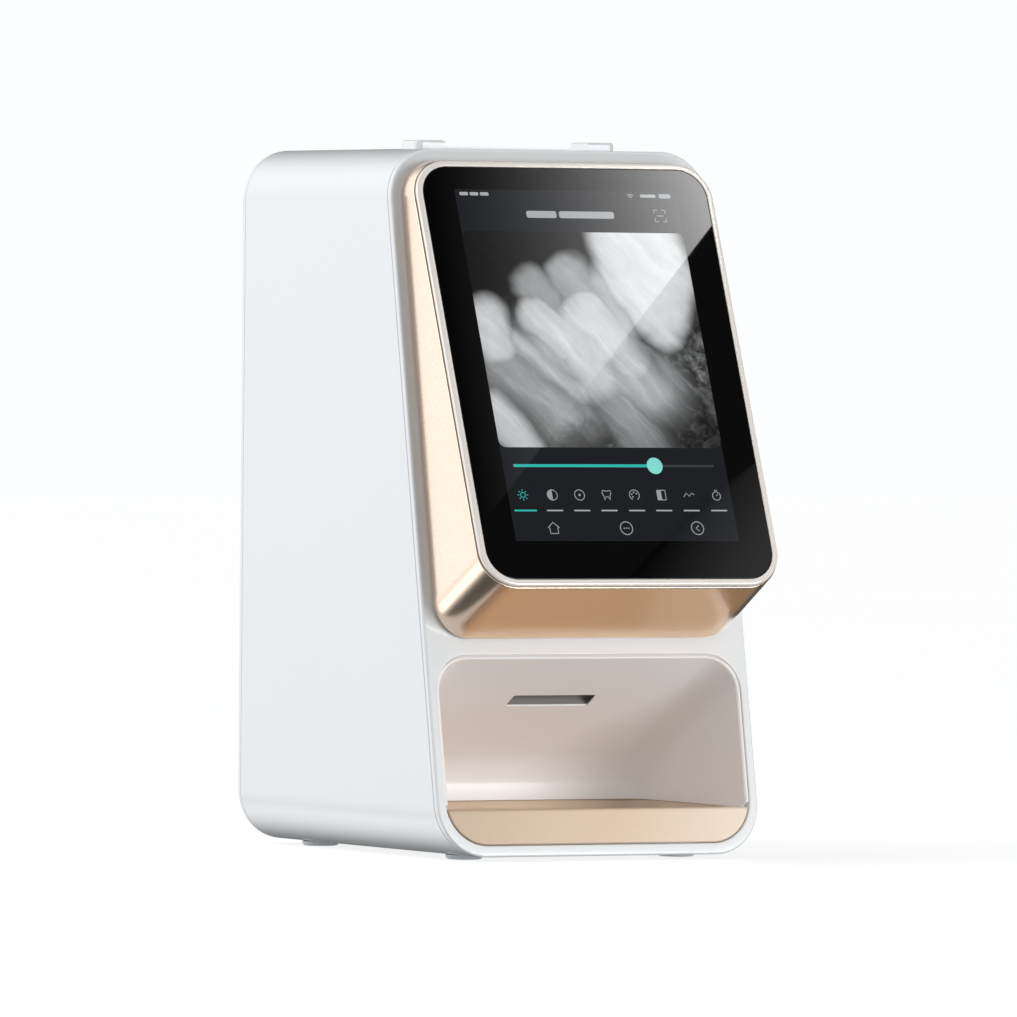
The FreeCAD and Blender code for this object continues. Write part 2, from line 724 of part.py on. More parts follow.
side_cut(guide, throat, size["inlet_width"] / 2)

pin = new_body("flap_pin")
pin_circle = sketch_on(pin, "YZ")
draw_circle(pin_circle, pin_y, pin_z, 1)
pad(pin, pin_circle, neck_x * 2 - 0.6, side="Symmetric")

flap = new_body("inlet_flap")
flap_half = size["inlet_width"] / 2 - 0.4
leaf_low = pin_z + 0.4
side_slab(
    flap,
    [
        (inlet_y - neck_y, leaf_low),
        (pin_y, leaf_low),
        (pin_y, leaf_low + 1.3),
        (inlet_y - neck_y, leaf_low + 1.3),
    ],
    flap_half,
)
barrel = sketch_on(flap, "YZ")
draw_circle(barrel, pin_y, pin_z, 1.9)
pad(flap, barrel, flap_half * 2, side="Symmetric")
bore = sketch_on(flap, "YZ")
draw_circle(bore, pin_y, pin_z, 1.06)
cut(flap, bore, flap_half * 2 + 2, side="Symmetric")

# ---------------------------------------------------------------- display head
def head_loft(body, kind, inset, front_inset, over):
    """The head's tapered shape between the case's face and the screen's plane."""
    side = bay_side - inset
    radius = size["head_radius"]
    base = sketch_on(body, "XZ", -front_y - over * lean_cos, base_z, size["face_lean"])
    draw_rounded(base, -side, side, head_low + inset, head_high - inset, radius - inset)
    front = sketch_on(body, "XZ", -screen_y, screen_z, size["screen_lean"])
    front_side = size["screen_width"] / 2 - front_inset
    draw_rounded(
        front,
        -front_side,
        front_side,
        front_inset,
        screen_length - front_inset,
        radius - front_inset,
    )
    loft = body.newObject(f"PartDesign::{kind}Loft", f"{body.Name}_loft")
    loft.Profile = base
    loft.Sections = [front]
    loft.Ruled = True
    doc.recompute()


housing = new_body("display_housing")
head_loft(housing, "Additive", 0, 0, 0)
round_edges(housing, 3.5, lambda m, d: abs(m.y - face_y(m.z).value) < 0.02)
head_loft(housing, "Subtractive", size["base_wall"], size["head_wall"], 0)

ring = screen_body("bezel_ring")
ring_half = size["screen_width"] / 2 - size["ring_inset"]
ring_top = screen_length - size["ring_inset"]
ring_radius = size["head_radius"] - size["ring_inset"]
block(ring, -ring_half, ring_half, -size["ring_proud"], 0, size["ring_inset"], ring_top, ring_radius)
round_edges(ring, 1.2, lambda m, d: m.y < -size["ring_proud"].value + 0.01)
hole_half = ring_half - size["ring_width"]
hole_low = size["ring_inset"] + size["ring_width"]
hole_top = ring_top - size["ring_width"]
hole_radius = ring_radius - size["ring_width"]
opening(ring, -hole_half, hole_half, -size["ring_proud"] - 1, 1, hole_low, hole_top, hole_radius)

glass = screen_body("cover_glass")
gap = size["glass_gap"]
glass_front = -size["ring_proud"] + 0.2
glass_back = glass_front + size["glass_thick"]
block(
    glass,
    -hole_half + gap,
    hole_half - gap,
    glass_front,
    glass_back,
    hole_low + gap,
    hole_top - gap,
    hole_radius - gap,
)
round_edges(glass, 0.3, lambda m, d: m.y < glass_front.value + 0.01)

lcd = screen_body("lcd_panel")
lcd_half = size["lcd_width"] / 2
lcd_high = size["lcd_low"] + size["lcd_length"]
lcd_back = glass_back + size["lcd_thick"]
block(lcd, -lcd_half, lcd_half, glass_back, lcd_back, size["lcd_low"], lcd_high)

gasket = screen_body("display_gasket")
seal_half = hole_half - 0.4
seal_low = hole_low + 0.4
seal_top = hole_top - 0.4
block(gasket, -seal_half, seal_half, glass_back, lcd_back, seal_low, seal_top, hole_radius - 0.4)
opening(
    gasket,
    -lcd_half - 3,
    lcd_half + 3,
    glass_back - 1,
    lcd_back + 1,
    size["lcd_low"] - 4,
    lcd_high + 3,
)

bracket = screen_body("display_bracket")
bracket_back = lcd_back + 1.2
block(bracket, -seal_half, seal_half, lcd_back, bracket_back, seal_low, seal_top, hole_radius - 0.4)
opening(bracket, -40, 40, lcd_back - 1, bracket_back + 1, 112, 170, 6)
board_spots = [(sx * 44, z) for sx in (-1, 1) for z in (26, 94)]
posts(bracket, board_spots, 2.4, bracket_back, bracket_back + 5)

display_board = screen_body("display_board")
db_front = bracket_back + 5
block(display_board, -50, 50, db_front, db_front + size["board_thick"], 20, 100)
block(display_board, -30, -8, db_front + size["board_thick"], db_front + 4, 60, 82)
block(display_board, 4, 34, db_front + size["board_thick"], db_front + 5, 28, 34)

# ---------------------------------------------------------------- plate lift, in the frame of the plate path
chassis_back = size["chassis_y"] + size["sheet"]
block_top = size["block_low"] + size["block_thick"]
upper_top = size["block_high"] + size["block_thick"]
rod_x = size["inlet_width"] / 2 + size["rod_clear"]
screw_x = rod_x + size["screw_clear"]
rod_spots = [(sx * rod_x, size["rod_y"]) for sx in (-1, 1)]
screw_spot = (screw_x, size["rod_y"])
path_half = size["inlet_width"] / 2 + 3


def columns(body, spots, radius, z0, z1):
    """Round bars along Z at (x, y) spots."""
    sketch = sketch_on(body, "XY", z0)
    for x, y in spots:
        draw_circle(sketch, x, y, radius)
    return pad(body, sketch, as_dim(z1) - z0)


def wells(body, spots, radius, z0, z1):
    """Round holes along Z at (x, y) spots, from z0 up to z1."""
    sketch = sketch_on(body, "XY", z0)
    for x, y in spots:
        draw_circle(sketch, x, y, radius)
    return cut(body, sketch, as_dim(z1) - z0, back=True)


chassis = feed_body("chassis_plate")
plate_side = inner_half - size["fit_gap"]
block(chassis, -plate_side, plate_side, size["chassis_y"], chassis_back, size["block_low"], 284)
scan_low = size["scan_line"] - 4
opening(chassis, -32, 32, size["chassis_y"] - 1, chassis_back + 1, scan_low, size["scan_line"] + 4)
opening(chassis, -32, 32, size["chassis_y"] - 1, chassis_back + 1, 158, 170)
block_middles = [size["block_low"] + size["block_thick"] / 2, size["block_high"] + size["block_thick"] / 2]
block_screw_spots = [(sx * (rod_x + 6), z) for sx in (-1, 1) for z in block_middles]
bores(chassis, block_screw_spots, 1.7, size["chassis_y"] - 1, chassis_back + 1)


def bearing_block(label, low, screw_hole):
    """A block across the lift with holes for the rods and the screw and a gap for the plates."""
    body = feed_body(label)
    block(body, -rod_x - 8, screw_x + 10, -4, size["chassis_y"], low, low + size["block_thick"])
    opening(body, -path_half, path_half, -5, 8, low - 1, low + size["block_thick"] + 1)
    wells(body, rod_spots, size["rod_radius"], low - 1, low + size["block_thick"] + 1)
    wells(body, [screw_spot], screw_hole, low - 1, low + size["block_thick"] + 1)
    spots = [(sx * (rod_x + 6), low + size["block_thick"] / 2) for sx in (-1, 1)]
    bores(body, spots, 1.5, size["chassis_y"] - 7, size["chassis_y"] + 1)
    return body


bearing_block("lower_block", size["block_low"], size["screw_radius"] + 0.5)
bearing_block("upper_block", size["block_high"], size["screw_radius"] + 0.06)

rods = feed_body("guide_rods")
columns(rods, rod_spots, size["rod_radius"], size["block_low"], upper_top)

block_screws = feed_body("block_screws")
posts(block_screws, block_screw_spots, 1.5, size["chassis_y"] - 6.5, chassis_back)
posts(block_screws, block_screw_spots, 2.8, chassis_back, chassis_back + 1.8)

motor = feed_body("stepper_motor")
half_motor = size["motor_size"] / 2
motor_low = size["block_low"] - 24
block(
    motor,
    screw_x - half_motor,
    screw_x + half_motor,
    size["rod_y"] - half_motor,
    size["rod_y"] + half_motor,
    motor_low,
    size["block_low"],
)
wells(motor, [screw_spot], size["screw_radius"] + 0.1, size["block_low"] - 8, size["block_low"] + 1)
round_edges(motor, 2.5, lambda m, d: abs(d.z) > 0.99 and abs(m.x - screw_x.value) > 12, "PartDesign::Chamfer")

lead_screw = feed_body("lead_screw")
columns(lead_screw, [screw_spot], size["screw_radius"], size["block_low"] - 7.5, upper_top)

carriage = feed_body("plate_carriage")
car_low = size["carriage_low"]
car_high = car_low + size["carriage_height"]
car_left = -rod_x - 6
car_right = screw_x + 7.5
block(carriage, car_left, car_right, -8, -5, car_low, car_high)
block(carriage, car_left, -path_half - 1, -5, 10, car_low, car_high)
block(carriage, path_half + 1, car_right, -5, 10, car_low, car_high)
wells(carriage, rod_spots, size["rod_radius"] + 1.5, car_low - 1, car_high + 1)
wells(carriage, [screw_spot], 5, car_low - 1, car_high + 1)
opening(carriage, -20, 20, -6.5, -4, car_low + 16, car_low + 28)

bushes = feed_body("carriage_bushes")
for low in (car_low, car_high - 12):
    columns(bushes, rod_spots, size["rod_radius"] + 1.5, low, low + 12)
wells(bushes, rod_spots, size["rod_radius"] + 0.05, car_low - 1, car_high + 1)

nut = feed_body("lead_nut")
columns(nut, [screw_spot], 5, car_low, car_low + 20)
wells(nut, [screw_spot], size["screw_radius"] + 0.05, car_low - 1, car_low + 21)

magnet = feed_body("carriage_magnet")
block(magnet, -20, 20, -6.5, -5, car_low + 16, car_low + 28)

sensors = feed_body("limit_sensors")
for low in (size["carriage_low"] - 96, car_high - 8):
    block(sensors, car_left - 16, car_left - 6, 9, size["chassis_y"], low, low + 8)

# ---------------------------------------------------------------- optics behind the chassis
box_low = size["scan_line"] - 22
box_high = size["scan_line"] + 26
box_back = chassis_back + size["optics_depth"]
box_side = size["optics_width"] / 2
optics = feed_body("optics_housing")
block(optics, -box_side, box_side, chassis_back, box_back, box_low, box_high, 2)
well = sketch_on(optics, "XY", box_high + 1)
draw_rounded(well, 2 - box_side, box_side - 2, chassis_back + 2, box_back - 2, 1.5)
cut(optics, well, box_high - box_low - 1)
opening(optics, -30, 30, chassis_back - 1, chassis_back + 3, size["scan_line"] - 3, size["scan_line"] + 3)
guide_y = chassis_back + 2.4
guide_low = size["scan_line"] + 4.2
opening(optics, 28, 35, guide_y - 0.3, guide_y + 8.3, guide_low - 0.3, guide_low + 6.3)

optics_cover = feed_body("optics_cover")
block(optics_cover, -box_side, box_side, chassis_back, box_back, box_high, box_high + 2)

spin_spot = (-8, chassis_back + 33)
scan_motor = feed_body("scan_motor")
columns(scan_motor, [spin_spot], 12, box_low + 2, box_low + 11)
columns(scan_motor, [spin_spot], 2, box_low + 11, size["scan_line"] + 4)

mirror = feed_body("polygon_mirror")
columns(mirror, [spin_spot], 6, box_low + 11.6, size["scan_line"] - 4)
facets = sketch_on(mirror, "XY", size["scan_line"] - 4)
corners = [
    (spin_spot[0] + 12 * math.cos(math.radians(60 * k)), spin_spot[1] + 12 * math.sin(math.radians(60 * k)))
    for k in range(6)
]
draw_polygon(facets, corners)
pad(mirror, facets, 7)
wells(mirror, [spin_spot], 2.06, box_low + 10, size["scan_line"] + 5)

lens = feed_body("scan_lens")
block(lens, -24, 24, chassis_back + 12, chassis_back + 18, box_low + 2, size["scan_line"] + 6)

laser = feed_body("laser_diode")
barrel_of_laser = sketch_on(laser, "YZ", 12)
draw_circle(barrel_of_laser, spin_spot[1], size["scan_line"], 4)
pad(laser, barrel_of_laser, box_side - 2 - 12)

light_guide = feed_body("light_guide")
block(light_guide, -30, box_side + 1.7, guide_y, guide_y + 8, guide_low, guide_low + 6)

tube = feed_body("photomultiplier")
tube_round = sketch_on(tube, "YZ", box_side + 2)
draw_circle(tube_round, chassis_back + 11.5, guide_low + 3, 10)
pad(tube, tube_round, 34)

lamp = feed_body("erase_lamp")
block(lamp, -34, 34, chassis_back, chassis_back + 7, 154, 173)

# ---------------------------------------------------------------- electronics on the rear cover
board_y = cover_y - 13
board_back = board_y + size["board_thick"]
board = new_body("main_board")
block(board, -62, 62, board_y, board_back, base_z + 12, base_z + 232)
stand_spots = [(sx * 56, base_z + z) for sx in (-1, 1) for z in (48, 226)]
bores(board, stand_spots, 1.6, board_y - 1, board_back + 1)

standoffs = new_body("board_standoffs")
posts(standoffs, stand_spots, 3, board_back, cover_y)
bores(standoffs, stand_spots, 1.5, board_back - 1, board_back + 6)

board_screws = new_body("board_screws")
posts(board_screws, stand_spots, 2.8, board_y - 1.8, board_y)
posts(board_screws, stand_spots, 1.5, board_y, board_back + 5.5)

chips = new_body("board_chips")
chip_face = sketch_on(chips, "XZ", -board_y)
for x, z, half in ((-30, 190, 9), (4, 176, 11), (34, 196, 6), (-22, 120, 8), (28, 110, 7)):
    draw_box(chip_face, x - half, x + half, base_z + z - half, base_z + z + half)
pad(chips, chip_face, 2)

radio = new_body("wireless_module")
block(radio, 36, 58, board_y - 3, board_y, base_z + 140, base_z + 170)

sink = new_body("heat_sink")
block(sink, -7, 15, board_y - 6, board_y - 2, base_z + 165, base_z + 187)
fins = sketch_on(sink, "XZ", -(board_y - 6))
for number in range(6):
    draw_box(fins, -7 + number * 4, -5.6 + number * 4, base_z + 165, base_z + 187)
pad(sink, fins, 8)

x, half_x, half_z = PORTS["power_inlet"]
power = new_body("power_inlet")
block(power, x - half_x, x + half_x, board_back, rear_y - 0.4, port_z - half_z, port_z + half_z)
bores(power, [(x, port_z)], 3.1, rear_y - 9, rear_y)
posts(power, [(x, port_z)], 1, rear_y - 9, rear_y - 2)

x, half_x, half_z = PORTS["usb_port"]
usb = new_body("usb_port")
block(usb, x - half_x, x + half_x, board_back, rear_y - 0.4, port_z - half_z, port_z + half_z)
usb_side = half_x - 0.6
usb_rise = half_z - 0.6
opening(usb, x - usb_side, x + usb_side, rear_y - 9, rear_y, port_z - usb_rise, port_z + usb_rise)
block(usb, x - half_x + 1.4, x + half_x - 1.4, rear_y - 9.4, rear_y - 2, port_z - 0.2, port_z + 1.6)

x, half_x, half_z = PORTS["lan_port"]
lan = new_body("lan_port")
block(lan, x - half_x, x + half_x, board_back, rear_y - 0.4, port_z - half_z, port_z + half_z)
opening(lan, x - 6, x + 6, rear_y - 10, rear_y, port_z - 4.5, port_z + 3.5)

x, half_x, half_z = PORTS["switch_frame"]
rocker_y = rear_y - 5
switch = new_body("switch_frame")
block(switch, x - half_x, x + half_x, rear_y - 11, rear_y - 0.4, port_z - half_z, port_z + half_z)
opening(switch, x - 6, x + 6, rear_y - 9.6, rear_y, port_z - 9, port_z + 9)
trunnion = sketch_on(switch, "YZ", x - half_x + 0.4)
draw_circle(trunnion, rocker_y, port_z, 1.06)
cut(switch, trunnion, 2 * half_x - 0.8, back=True)

rocker = new_body("rocker_switch")
put(rocker, x, rocker_y, port_z, 8)
side_slab(rocker, [(-3, -7), (-3, 7), (3.4, 8.2), (2.2, 0), (3.4, -8.2)], 5.5)
shaft = sketch_on(rocker, "YZ")
draw_circle(shaft, 0, 0, 1)
pad(rocker, shaft, 14, side="Symmetric")

# ---------------------------------------------------------------- cooling fan
fan = new_body("fan_frame")
fan_half = size["fan_size"] / 2
fan_front = cover_y - size["fan_depth"]
block(fan, -fan_half, fan_half, fan_front, cover_y, fan_z - fan_half, fan_z + fan_half, 2)
bores(fan, [(0, fan_z)], 18.6, fan_front - 1, cover_y + 1)
spider = sketch_on(fan, "XZ", -(cover_y - 1.5))
draw_circle(spider, 0, fan_z, 6)
pad(fan, spider, 1.5, back=True)
for flat in (True, False):
    arms = sketch_on(fan, "XZ", -(cover_y - 1.5))
    a, b = (19, 1.2) if flat else (1.2, 19)
    draw_box(arms, -a, a, fan_z - b, fan_z + b)
    pad(fan, arms, 1.5, back=True)
posts(fan, [(0, fan_z)], 1, fan_front + 1, cover_y)

rotor = new_body("fan_rotor")
posts(rotor, [(0, fan_z)], 7, fan_front + 0.8, cover_y - 2)
blades = sketch_on(rotor, "XZ", -(fan_front + 1.2))
for number in range(7):
    turn = 360 / 7 * number
    outline = []
    for radius, angle in ((6.4, 0), (17.7, 16), (17.7, 22), (6.4, 10)):
        way = math.radians(turn + angle)
        outline.append((radius * math.cos(way), fan_z + radius * math.sin(way)))
    draw_polygon(blades, outline)
pad(rotor, blades, 6, back=True)
bores(rotor, [(0, fan_z)], 1.06, fan_front, cover_y - 1)

# ---------------------------------------------------------------- check and write
doc.recompute()
os.makedirs("parts", exist_ok=True)
for item in doc.Objects:
    if "Invalid" in item.State or "Error" in item.State:
        raise RuntimeError(f"{item.Name} did not build: {item.State}")
for node in nodes:
    shape = node.Shape
    if shape.isNull() or not shape.isValid():
        raise RuntimeError(f"{node.Label} has no valid shape")
    shape.exportStep(f"parts/{node.Label}.step")
    print(node.Label, len(shape.Solids), round(shape.Volume / 1000, 2))
print(len(nodes), "nodes")
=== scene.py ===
# %% [markdown]
# # A dental plate scanner with a touch display
# The machine is a white glossy tube, cut on a slant at the front, with a gold display head above an
# open bay. Its CAD model gives every size and place; this lesson gives it its surfaces and finishes.
# The first cell loads that model and keeps its outer box; its lowest point later sets the floor.
# It also turns off the film curve, so that white stays white and the black glass keeps its depth.

# %% Load the CAD frame
import math
import bmesh
import bpy
from mathutils import Matrix, Vector


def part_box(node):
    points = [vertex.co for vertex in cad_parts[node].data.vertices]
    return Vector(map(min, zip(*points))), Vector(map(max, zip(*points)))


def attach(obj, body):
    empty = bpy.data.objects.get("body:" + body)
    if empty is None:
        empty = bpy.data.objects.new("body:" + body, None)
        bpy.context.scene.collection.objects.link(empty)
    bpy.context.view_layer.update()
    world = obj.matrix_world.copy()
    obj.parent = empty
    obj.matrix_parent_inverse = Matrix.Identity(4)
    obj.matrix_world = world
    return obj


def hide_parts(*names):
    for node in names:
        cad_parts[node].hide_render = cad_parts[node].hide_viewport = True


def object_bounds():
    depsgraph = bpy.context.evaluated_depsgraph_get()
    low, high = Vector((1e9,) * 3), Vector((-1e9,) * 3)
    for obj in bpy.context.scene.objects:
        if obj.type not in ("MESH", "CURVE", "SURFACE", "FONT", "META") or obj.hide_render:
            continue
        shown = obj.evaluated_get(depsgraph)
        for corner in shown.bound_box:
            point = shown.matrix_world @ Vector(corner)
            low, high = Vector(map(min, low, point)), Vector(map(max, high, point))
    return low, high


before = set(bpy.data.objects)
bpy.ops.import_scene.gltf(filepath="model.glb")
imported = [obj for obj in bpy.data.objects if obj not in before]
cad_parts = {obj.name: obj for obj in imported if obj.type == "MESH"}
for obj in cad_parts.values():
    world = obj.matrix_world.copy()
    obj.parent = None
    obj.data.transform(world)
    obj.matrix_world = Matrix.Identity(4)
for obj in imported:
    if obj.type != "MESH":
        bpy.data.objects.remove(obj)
cad_low, cad_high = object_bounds()
bpy.context.scene.view_settings.view_transform = "Standard"

# %% [markdown]
# ## The slanted planes
# Three planes shape the outside: the face, which leans back 10.7 degrees, the screen, which leans
# back 22 degrees, and the path that a plate follows down through the machine, parallel to the face.
# Lengths here are in millimetres, as a maker would read them; they become metres when a mesh is made.

# %% Measures taken from the CAD boxes
FACE_LEAN = math.radians(10.7)
SCREEN_LEAN = math.radians(22.0)
MM = 0.001
RIGHT = Vector((1, 0, 0))


def box_mm(node):
    """The node's lowest and highest corners in millimetres."""
    low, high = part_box(node)
    return low * 1000, high * 1000


rim_low, rim_high = box_mm("front_frame")
HALF = rim_high.x
BASE = rim_low.z
TOP = rim_high.z
FRONT = rim_low.y
COVER = box_mm("rear_cover")[0].y
CORNER = 22.0
SIDE_RIM = 4.0
OPEN_HALF = HALF - SIDE_RIM


def face_y(z):
    """How far back the slanted face is at height z."""
    return FRONT + (z - BASE) * math.tan(FACE_LEAN)


ring_low, ring_high = box_mm("bezel_ring")
RING_PROUD = 2.2
SCREEN_UP = Vector((0, math.sin(SCREEN_LEAN), math.cos(SCREEN_LEAN)))
SCREEN_IN = Vector((0, math.cos(SCREEN_LEAN), -math.sin(SCREEN_LEAN)))
RING_ROUND = 1.2
RING_INSET = 0.6
# from the head's front plane to the centre of the ring's rounded front edge
round_step = (RING_PROUD - RING_ROUND) * Vector((0, SCREEN_UP.z, SCREEN_UP.y))
RING_LENGTH = (ring_high.z - ring_low.z - RING_ROUND - round_step.z) / SCREEN_UP.z + RING_ROUND
# the ring's lowest corner is at its back, and its foremost point is on that rounded edge
origin_y = ring_low.y + RING_ROUND + round_step.y - RING_ROUND * SCREEN_UP.y
SCREEN_ORIGIN = Vector((0, origin_y, ring_low.z))
SCREEN_ORIGIN -= SCREEN_UP * RING_INSET
HEAD_HALF = ring_high.x + RING_INSET
HEAD_LENGTH = RING_LENGTH + 2 * RING_INSET
print("case", round(HALF * 2), "mm wide,", round(TOP - BASE), "mm high")
print("screen plane starts at", [round(v, 2) for v in SCREEN_ORIGIN], "length", round(HEAD_LENGTH, 2))

# %% [markdown]
# ## Camera
# A long lens from 5 m away keeps the machine's edges nearly parallel. The camera stands 27.5 degrees
# round from the front, on the side of negative X, and looks almost level.

# %% Place the camera
CAMERA_TURN = math.radians(27.5)
CAMERA_DROP = math.radians(0.935)
CAMERA_ROLL = math.radians(0.52)
CAMERA_AWAY = 5260.0
LENS, SENSOR = 432.0, 36.0


def add_object(name, data):
    """Puts a new object into the scene, unmoved and unturned."""
    made = bpy.data.objects.new(name, data)
    bpy.context.scene.collection.objects.link(made)
    return made


# a point inside the case, a little left of its middle
target = Vector((-15.8, FRONT + 60, BASE + 147.4))
look = Vector((
    math.sin(CAMERA_TURN) * math.cos(CAMERA_DROP),
    math.cos(CAMERA_TURN) * math.cos(CAMERA_DROP),
    -math.sin(CAMERA_DROP),
))
camera_data = bpy.data.cameras.new("camera")
camera_data.lens = LENS
camera_data.sensor_width = SENSOR
camera_data.clip_end = 60.0
camera = add_object("camera", camera_data)
camera.location = (target - look * CAMERA_AWAY) * MM
aim = look.to_track_quat("-Z", "Y").to_matrix().to_4x4()
camera.rotation_euler = (aim @ Matrix.Rotation(CAMERA_ROLL, 4, "Z")).to_euler()
bpy.context.scene.camera = camera
print("camera at", [round(v, 2) for v in camera.location])

# %% [markdown]
# ## Outlines and skins
# Nearly every moulding here is a stack of rounded rectangles: one outline at the front, one at the
# back, and a few close together where an edge is rounded. Each outline has the same number of
# points, so quads join them in order. The quads follow the surface, which keeps reflections clean.

# %% Rounded outlines and the skin between them
CORNER_STEPS = 14


def rounded(half, low, high, r_low, r_high=None, inset=0.0, steps=CORNER_STEPS):
    """Points (x, z) of a rounded rectangle centred on x = 0, moved inwards by inset."""
    r_high = r_low if r_high is None else r_high
    half, low, high = half - inset, low + inset, high - inset
    r_low, r_high = max(r_low - inset, 0.05), max(r_high - inset, 0.05)
    corners = (
        (half - r_low, low + r_low, r_low, -90),
        (half - r_high, high - r_high, r_high, 0),
        (r_high - half, high - r_high, r_high, 90),
        (r_low - half, low + r_low, r_low, 180),
    )
    points = []
    for x, z, radius, start in corners:
        for step in range(steps + 1):
            angle = math.radians(start + 90 * step / steps)
            points.append((x + radius * math.cos(angle), z + radius * math.sin(angle)))
    return points


def on_face(outline, behind):
    """Stands an outline upright, each point a distance behind the slanted face."""
    return [Vector((x, face_y(z) + behind, z)) for x, z in outline]


def upright(outline, y):
    return [Vector((x, y, z)) for x, z in outline]


def on_screen(outline, behind):
    """Lays an outline on the screen's plane, or behind it."""
    return [SCREEN_ORIGIN + RIGHT * x + SCREEN_UP * z + SCREEN_IN * behind for x, z in outline]


def skin(mesh, rings, closed=False, caps=(False, False)):
    """Adds quads between rings of points to a bmesh."""
    rows = [[mesh.verts.new(p * MM) for p in ring] for ring in rings]
    count = len(rows[0])
    pairs = list(zip(rows, rows[1:]))
    if closed:
        pairs.append((rows[-1], rows[0]))
    for lower, upper in pairs:
        for i in range(count):
            j = (i + 1) % count
            mesh.faces.new((lower[i], lower[j], upper[j], upper[i]))
    if caps[0]:
        mesh.faces.new(rows[0])
    if caps[1]:
        mesh.faces.new(rows[-1])
    return rows


def quarter(radius, steps=5):
    """(inset, depth) steps of a rounded edge, from the face round to the side."""
    turns = [math.radians(90 * k / steps) for k in range(steps + 1)]
    return [(radius * (1 - math.sin(t)), radius * (1 - math.cos(t))) for t in turns]


print("a corner has", CORNER_STEPS, "steps and a rounded edge has", len(quarter(1)) - 1)

# %% [markdown]
# A finished mesh becomes a named piece. Doubled points are merged, its faces are turned outwards,
# and edges sharper than a limit stay crisp. The piece then rides on its CAD body, wears the
# material it is given, and hides the CAD nodes that it stands for.

# %% Turn a bmesh into a named, smoothly shaded piece
def mesh_data(name, mesh):
    """Mesh data from a bmesh, which is then freed."""
    data = bpy.data.meshes.new(name)
    mesh.to_mesh(data)
    mesh.free()
    return data


def finish_piece(name, mesh, body, stands_for=(), slot=None, material=None, sharp=38, weighted=True):
    """Makes the object, points its faces outwards and hands it to its CAD body."""
    bmesh.ops.remove_doubles(mesh, verts=mesh.verts, dist=1e-6)
    bmesh.ops.recalc_face_normals(mesh, faces=mesh.faces)
    for face in mesh.faces:
        face.smooth = True
    for edge in mesh.edges:
        if len(edge.link_faces) == 2 and edge.calc_face_angle(0) > math.radians(sharp):
            edge.smooth = False
    data = mesh_data(name, mesh)
    piece = add_object(name, data)
    data.materials.append(material)
    if weighted:
        weigh_normals(piece)
    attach(piece, body)
    if stands_for:
        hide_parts(*stands_for)
    print(name, len(data.polygons), "faces")
    return piece


def weigh_normals(piece):
    """Lets large flat faces set the shading, so rounded edges stay crisp."""
    modifier = piece.modifiers.new("weighted_normals", "WEIGHTED_NORMAL")
    modifier.keep_sharp = True
    modifier.weight = 80


# %% [markdown]
# ## Finishes
# Shader sums are easier to read as sums. A small class wraps a socket, so that `1 - mask` adds the
# Math node itself, and one method adds any other node: its settings first, then its sockets.

# %% A socket that can be used in sums
class Wire:
    def __init__(self, shader, socket):
        self.shader = shader
        self.socket = socket

    def math(self, kind, *others, clamp=False):
        settings = {"operation": kind, "use_clamp": clamp}
        inputs = dict(enumerate((self, *others)))
        return self.shader.node("ShaderNodeMath", settings, inputs)[0]

    def __add__(self, other):
        return self.math("ADD", other)

    def __radd__(self, other):
        return self.math("ADD", other)

    def __sub__(self, other):
        return self.math("SUBTRACT", other)

    def __rsub__(self, other):
        return self.shader.number(other).math("SUBTRACT", self)

    def __mul__(self, other):
        return self.math("MULTIPLY", other)

    def __rmul__(self, other):
        return self.math("MULTIPLY", other)

    def __truediv__(self, other):
        return self.math("DIVIDE", other)

    def step(self, low, high):
        """0 under low, 1 over high, eased between."""
        settings = {"interpolation_type": "SMOOTHSTEP"}
        inputs = {"Value": self, "From Min": low, "From Max": high, "To Min": 0.0, "To Max": 1.0}
        return self.shader.node("ShaderNodeMapRange", settings, inputs)[0]


class Shader:
    """A material that is written as sums."""

    def __init__(self, name):
        self.material = bpy.data.materials.new(name)
        self.material.use_nodes = True
        self.nodes = self.material.node_tree.nodes
        self.links = self.material.node_tree.links
        self.nodes.clear()

    def node(self, kind, settings=None, inputs=None):
        """Adds a node and returns its outputs as wires."""
        made = self.nodes.new(kind)
        for key, value in (settings or {}).items():
            setattr(made, key, value)
        for key, value in (inputs or {}).items():
            self.feed(made.inputs[key], value)
        return [Wire(self, socket) for socket in made.outputs]

    def feed(self, socket, value):
        if isinstance(value, Wire):
            self.links.new(value.socket, socket)
        else:
            socket.default_value = value

    def number(self, value):
        made = self.nodes.new("ShaderNodeValue")
        made.outputs[0].default_value = value
        return Wire(self, made.outputs[0])

    def place(self):
        return self.node("ShaderNodeTexCoord")[3]

    def noise(self, scale, detail=2.0, rough=0.5, where=None, distortion=0.0):
        inputs = {
            "Vector": where or self.place(),
            "Scale": scale,
            "Detail": detail,
            "Roughness": rough,
            "Distortion": distortion,
        }
        return self.node("ShaderNodeTexNoise", {}, inputs)[0]

    def blend(self, amount, first, second):
        """A colour between two colours."""
        inputs = {0: amount, 6: first, 7: second}
        return self.node("ShaderNodeMix", {"data_type": "RGBA"}, inputs)[2]

    def bump(self, height, distance):
        return self.node("ShaderNodeBump", {}, {"Height": height, "Distance": distance, "Strength": 1.0})[0]

    def surface(self, **inputs):
        """The Principled shader; names use _ for a space."""
        named = {key.replace("_", " "): value for key, value in inputs.items()}
        shader = self.node("ShaderNodeBsdfPrincipled", {}, named)[0]
        output = self.nodes.new("ShaderNodeOutputMaterial")
        self.links.new(shader.socket, output.inputs[0])
        return self.material


def grey(value):
    return (value, value, value, 1.0)


def shade(color, factor):
    return tuple(min(c * factor, 1.0) for c in color[:3]) + (1.0,)


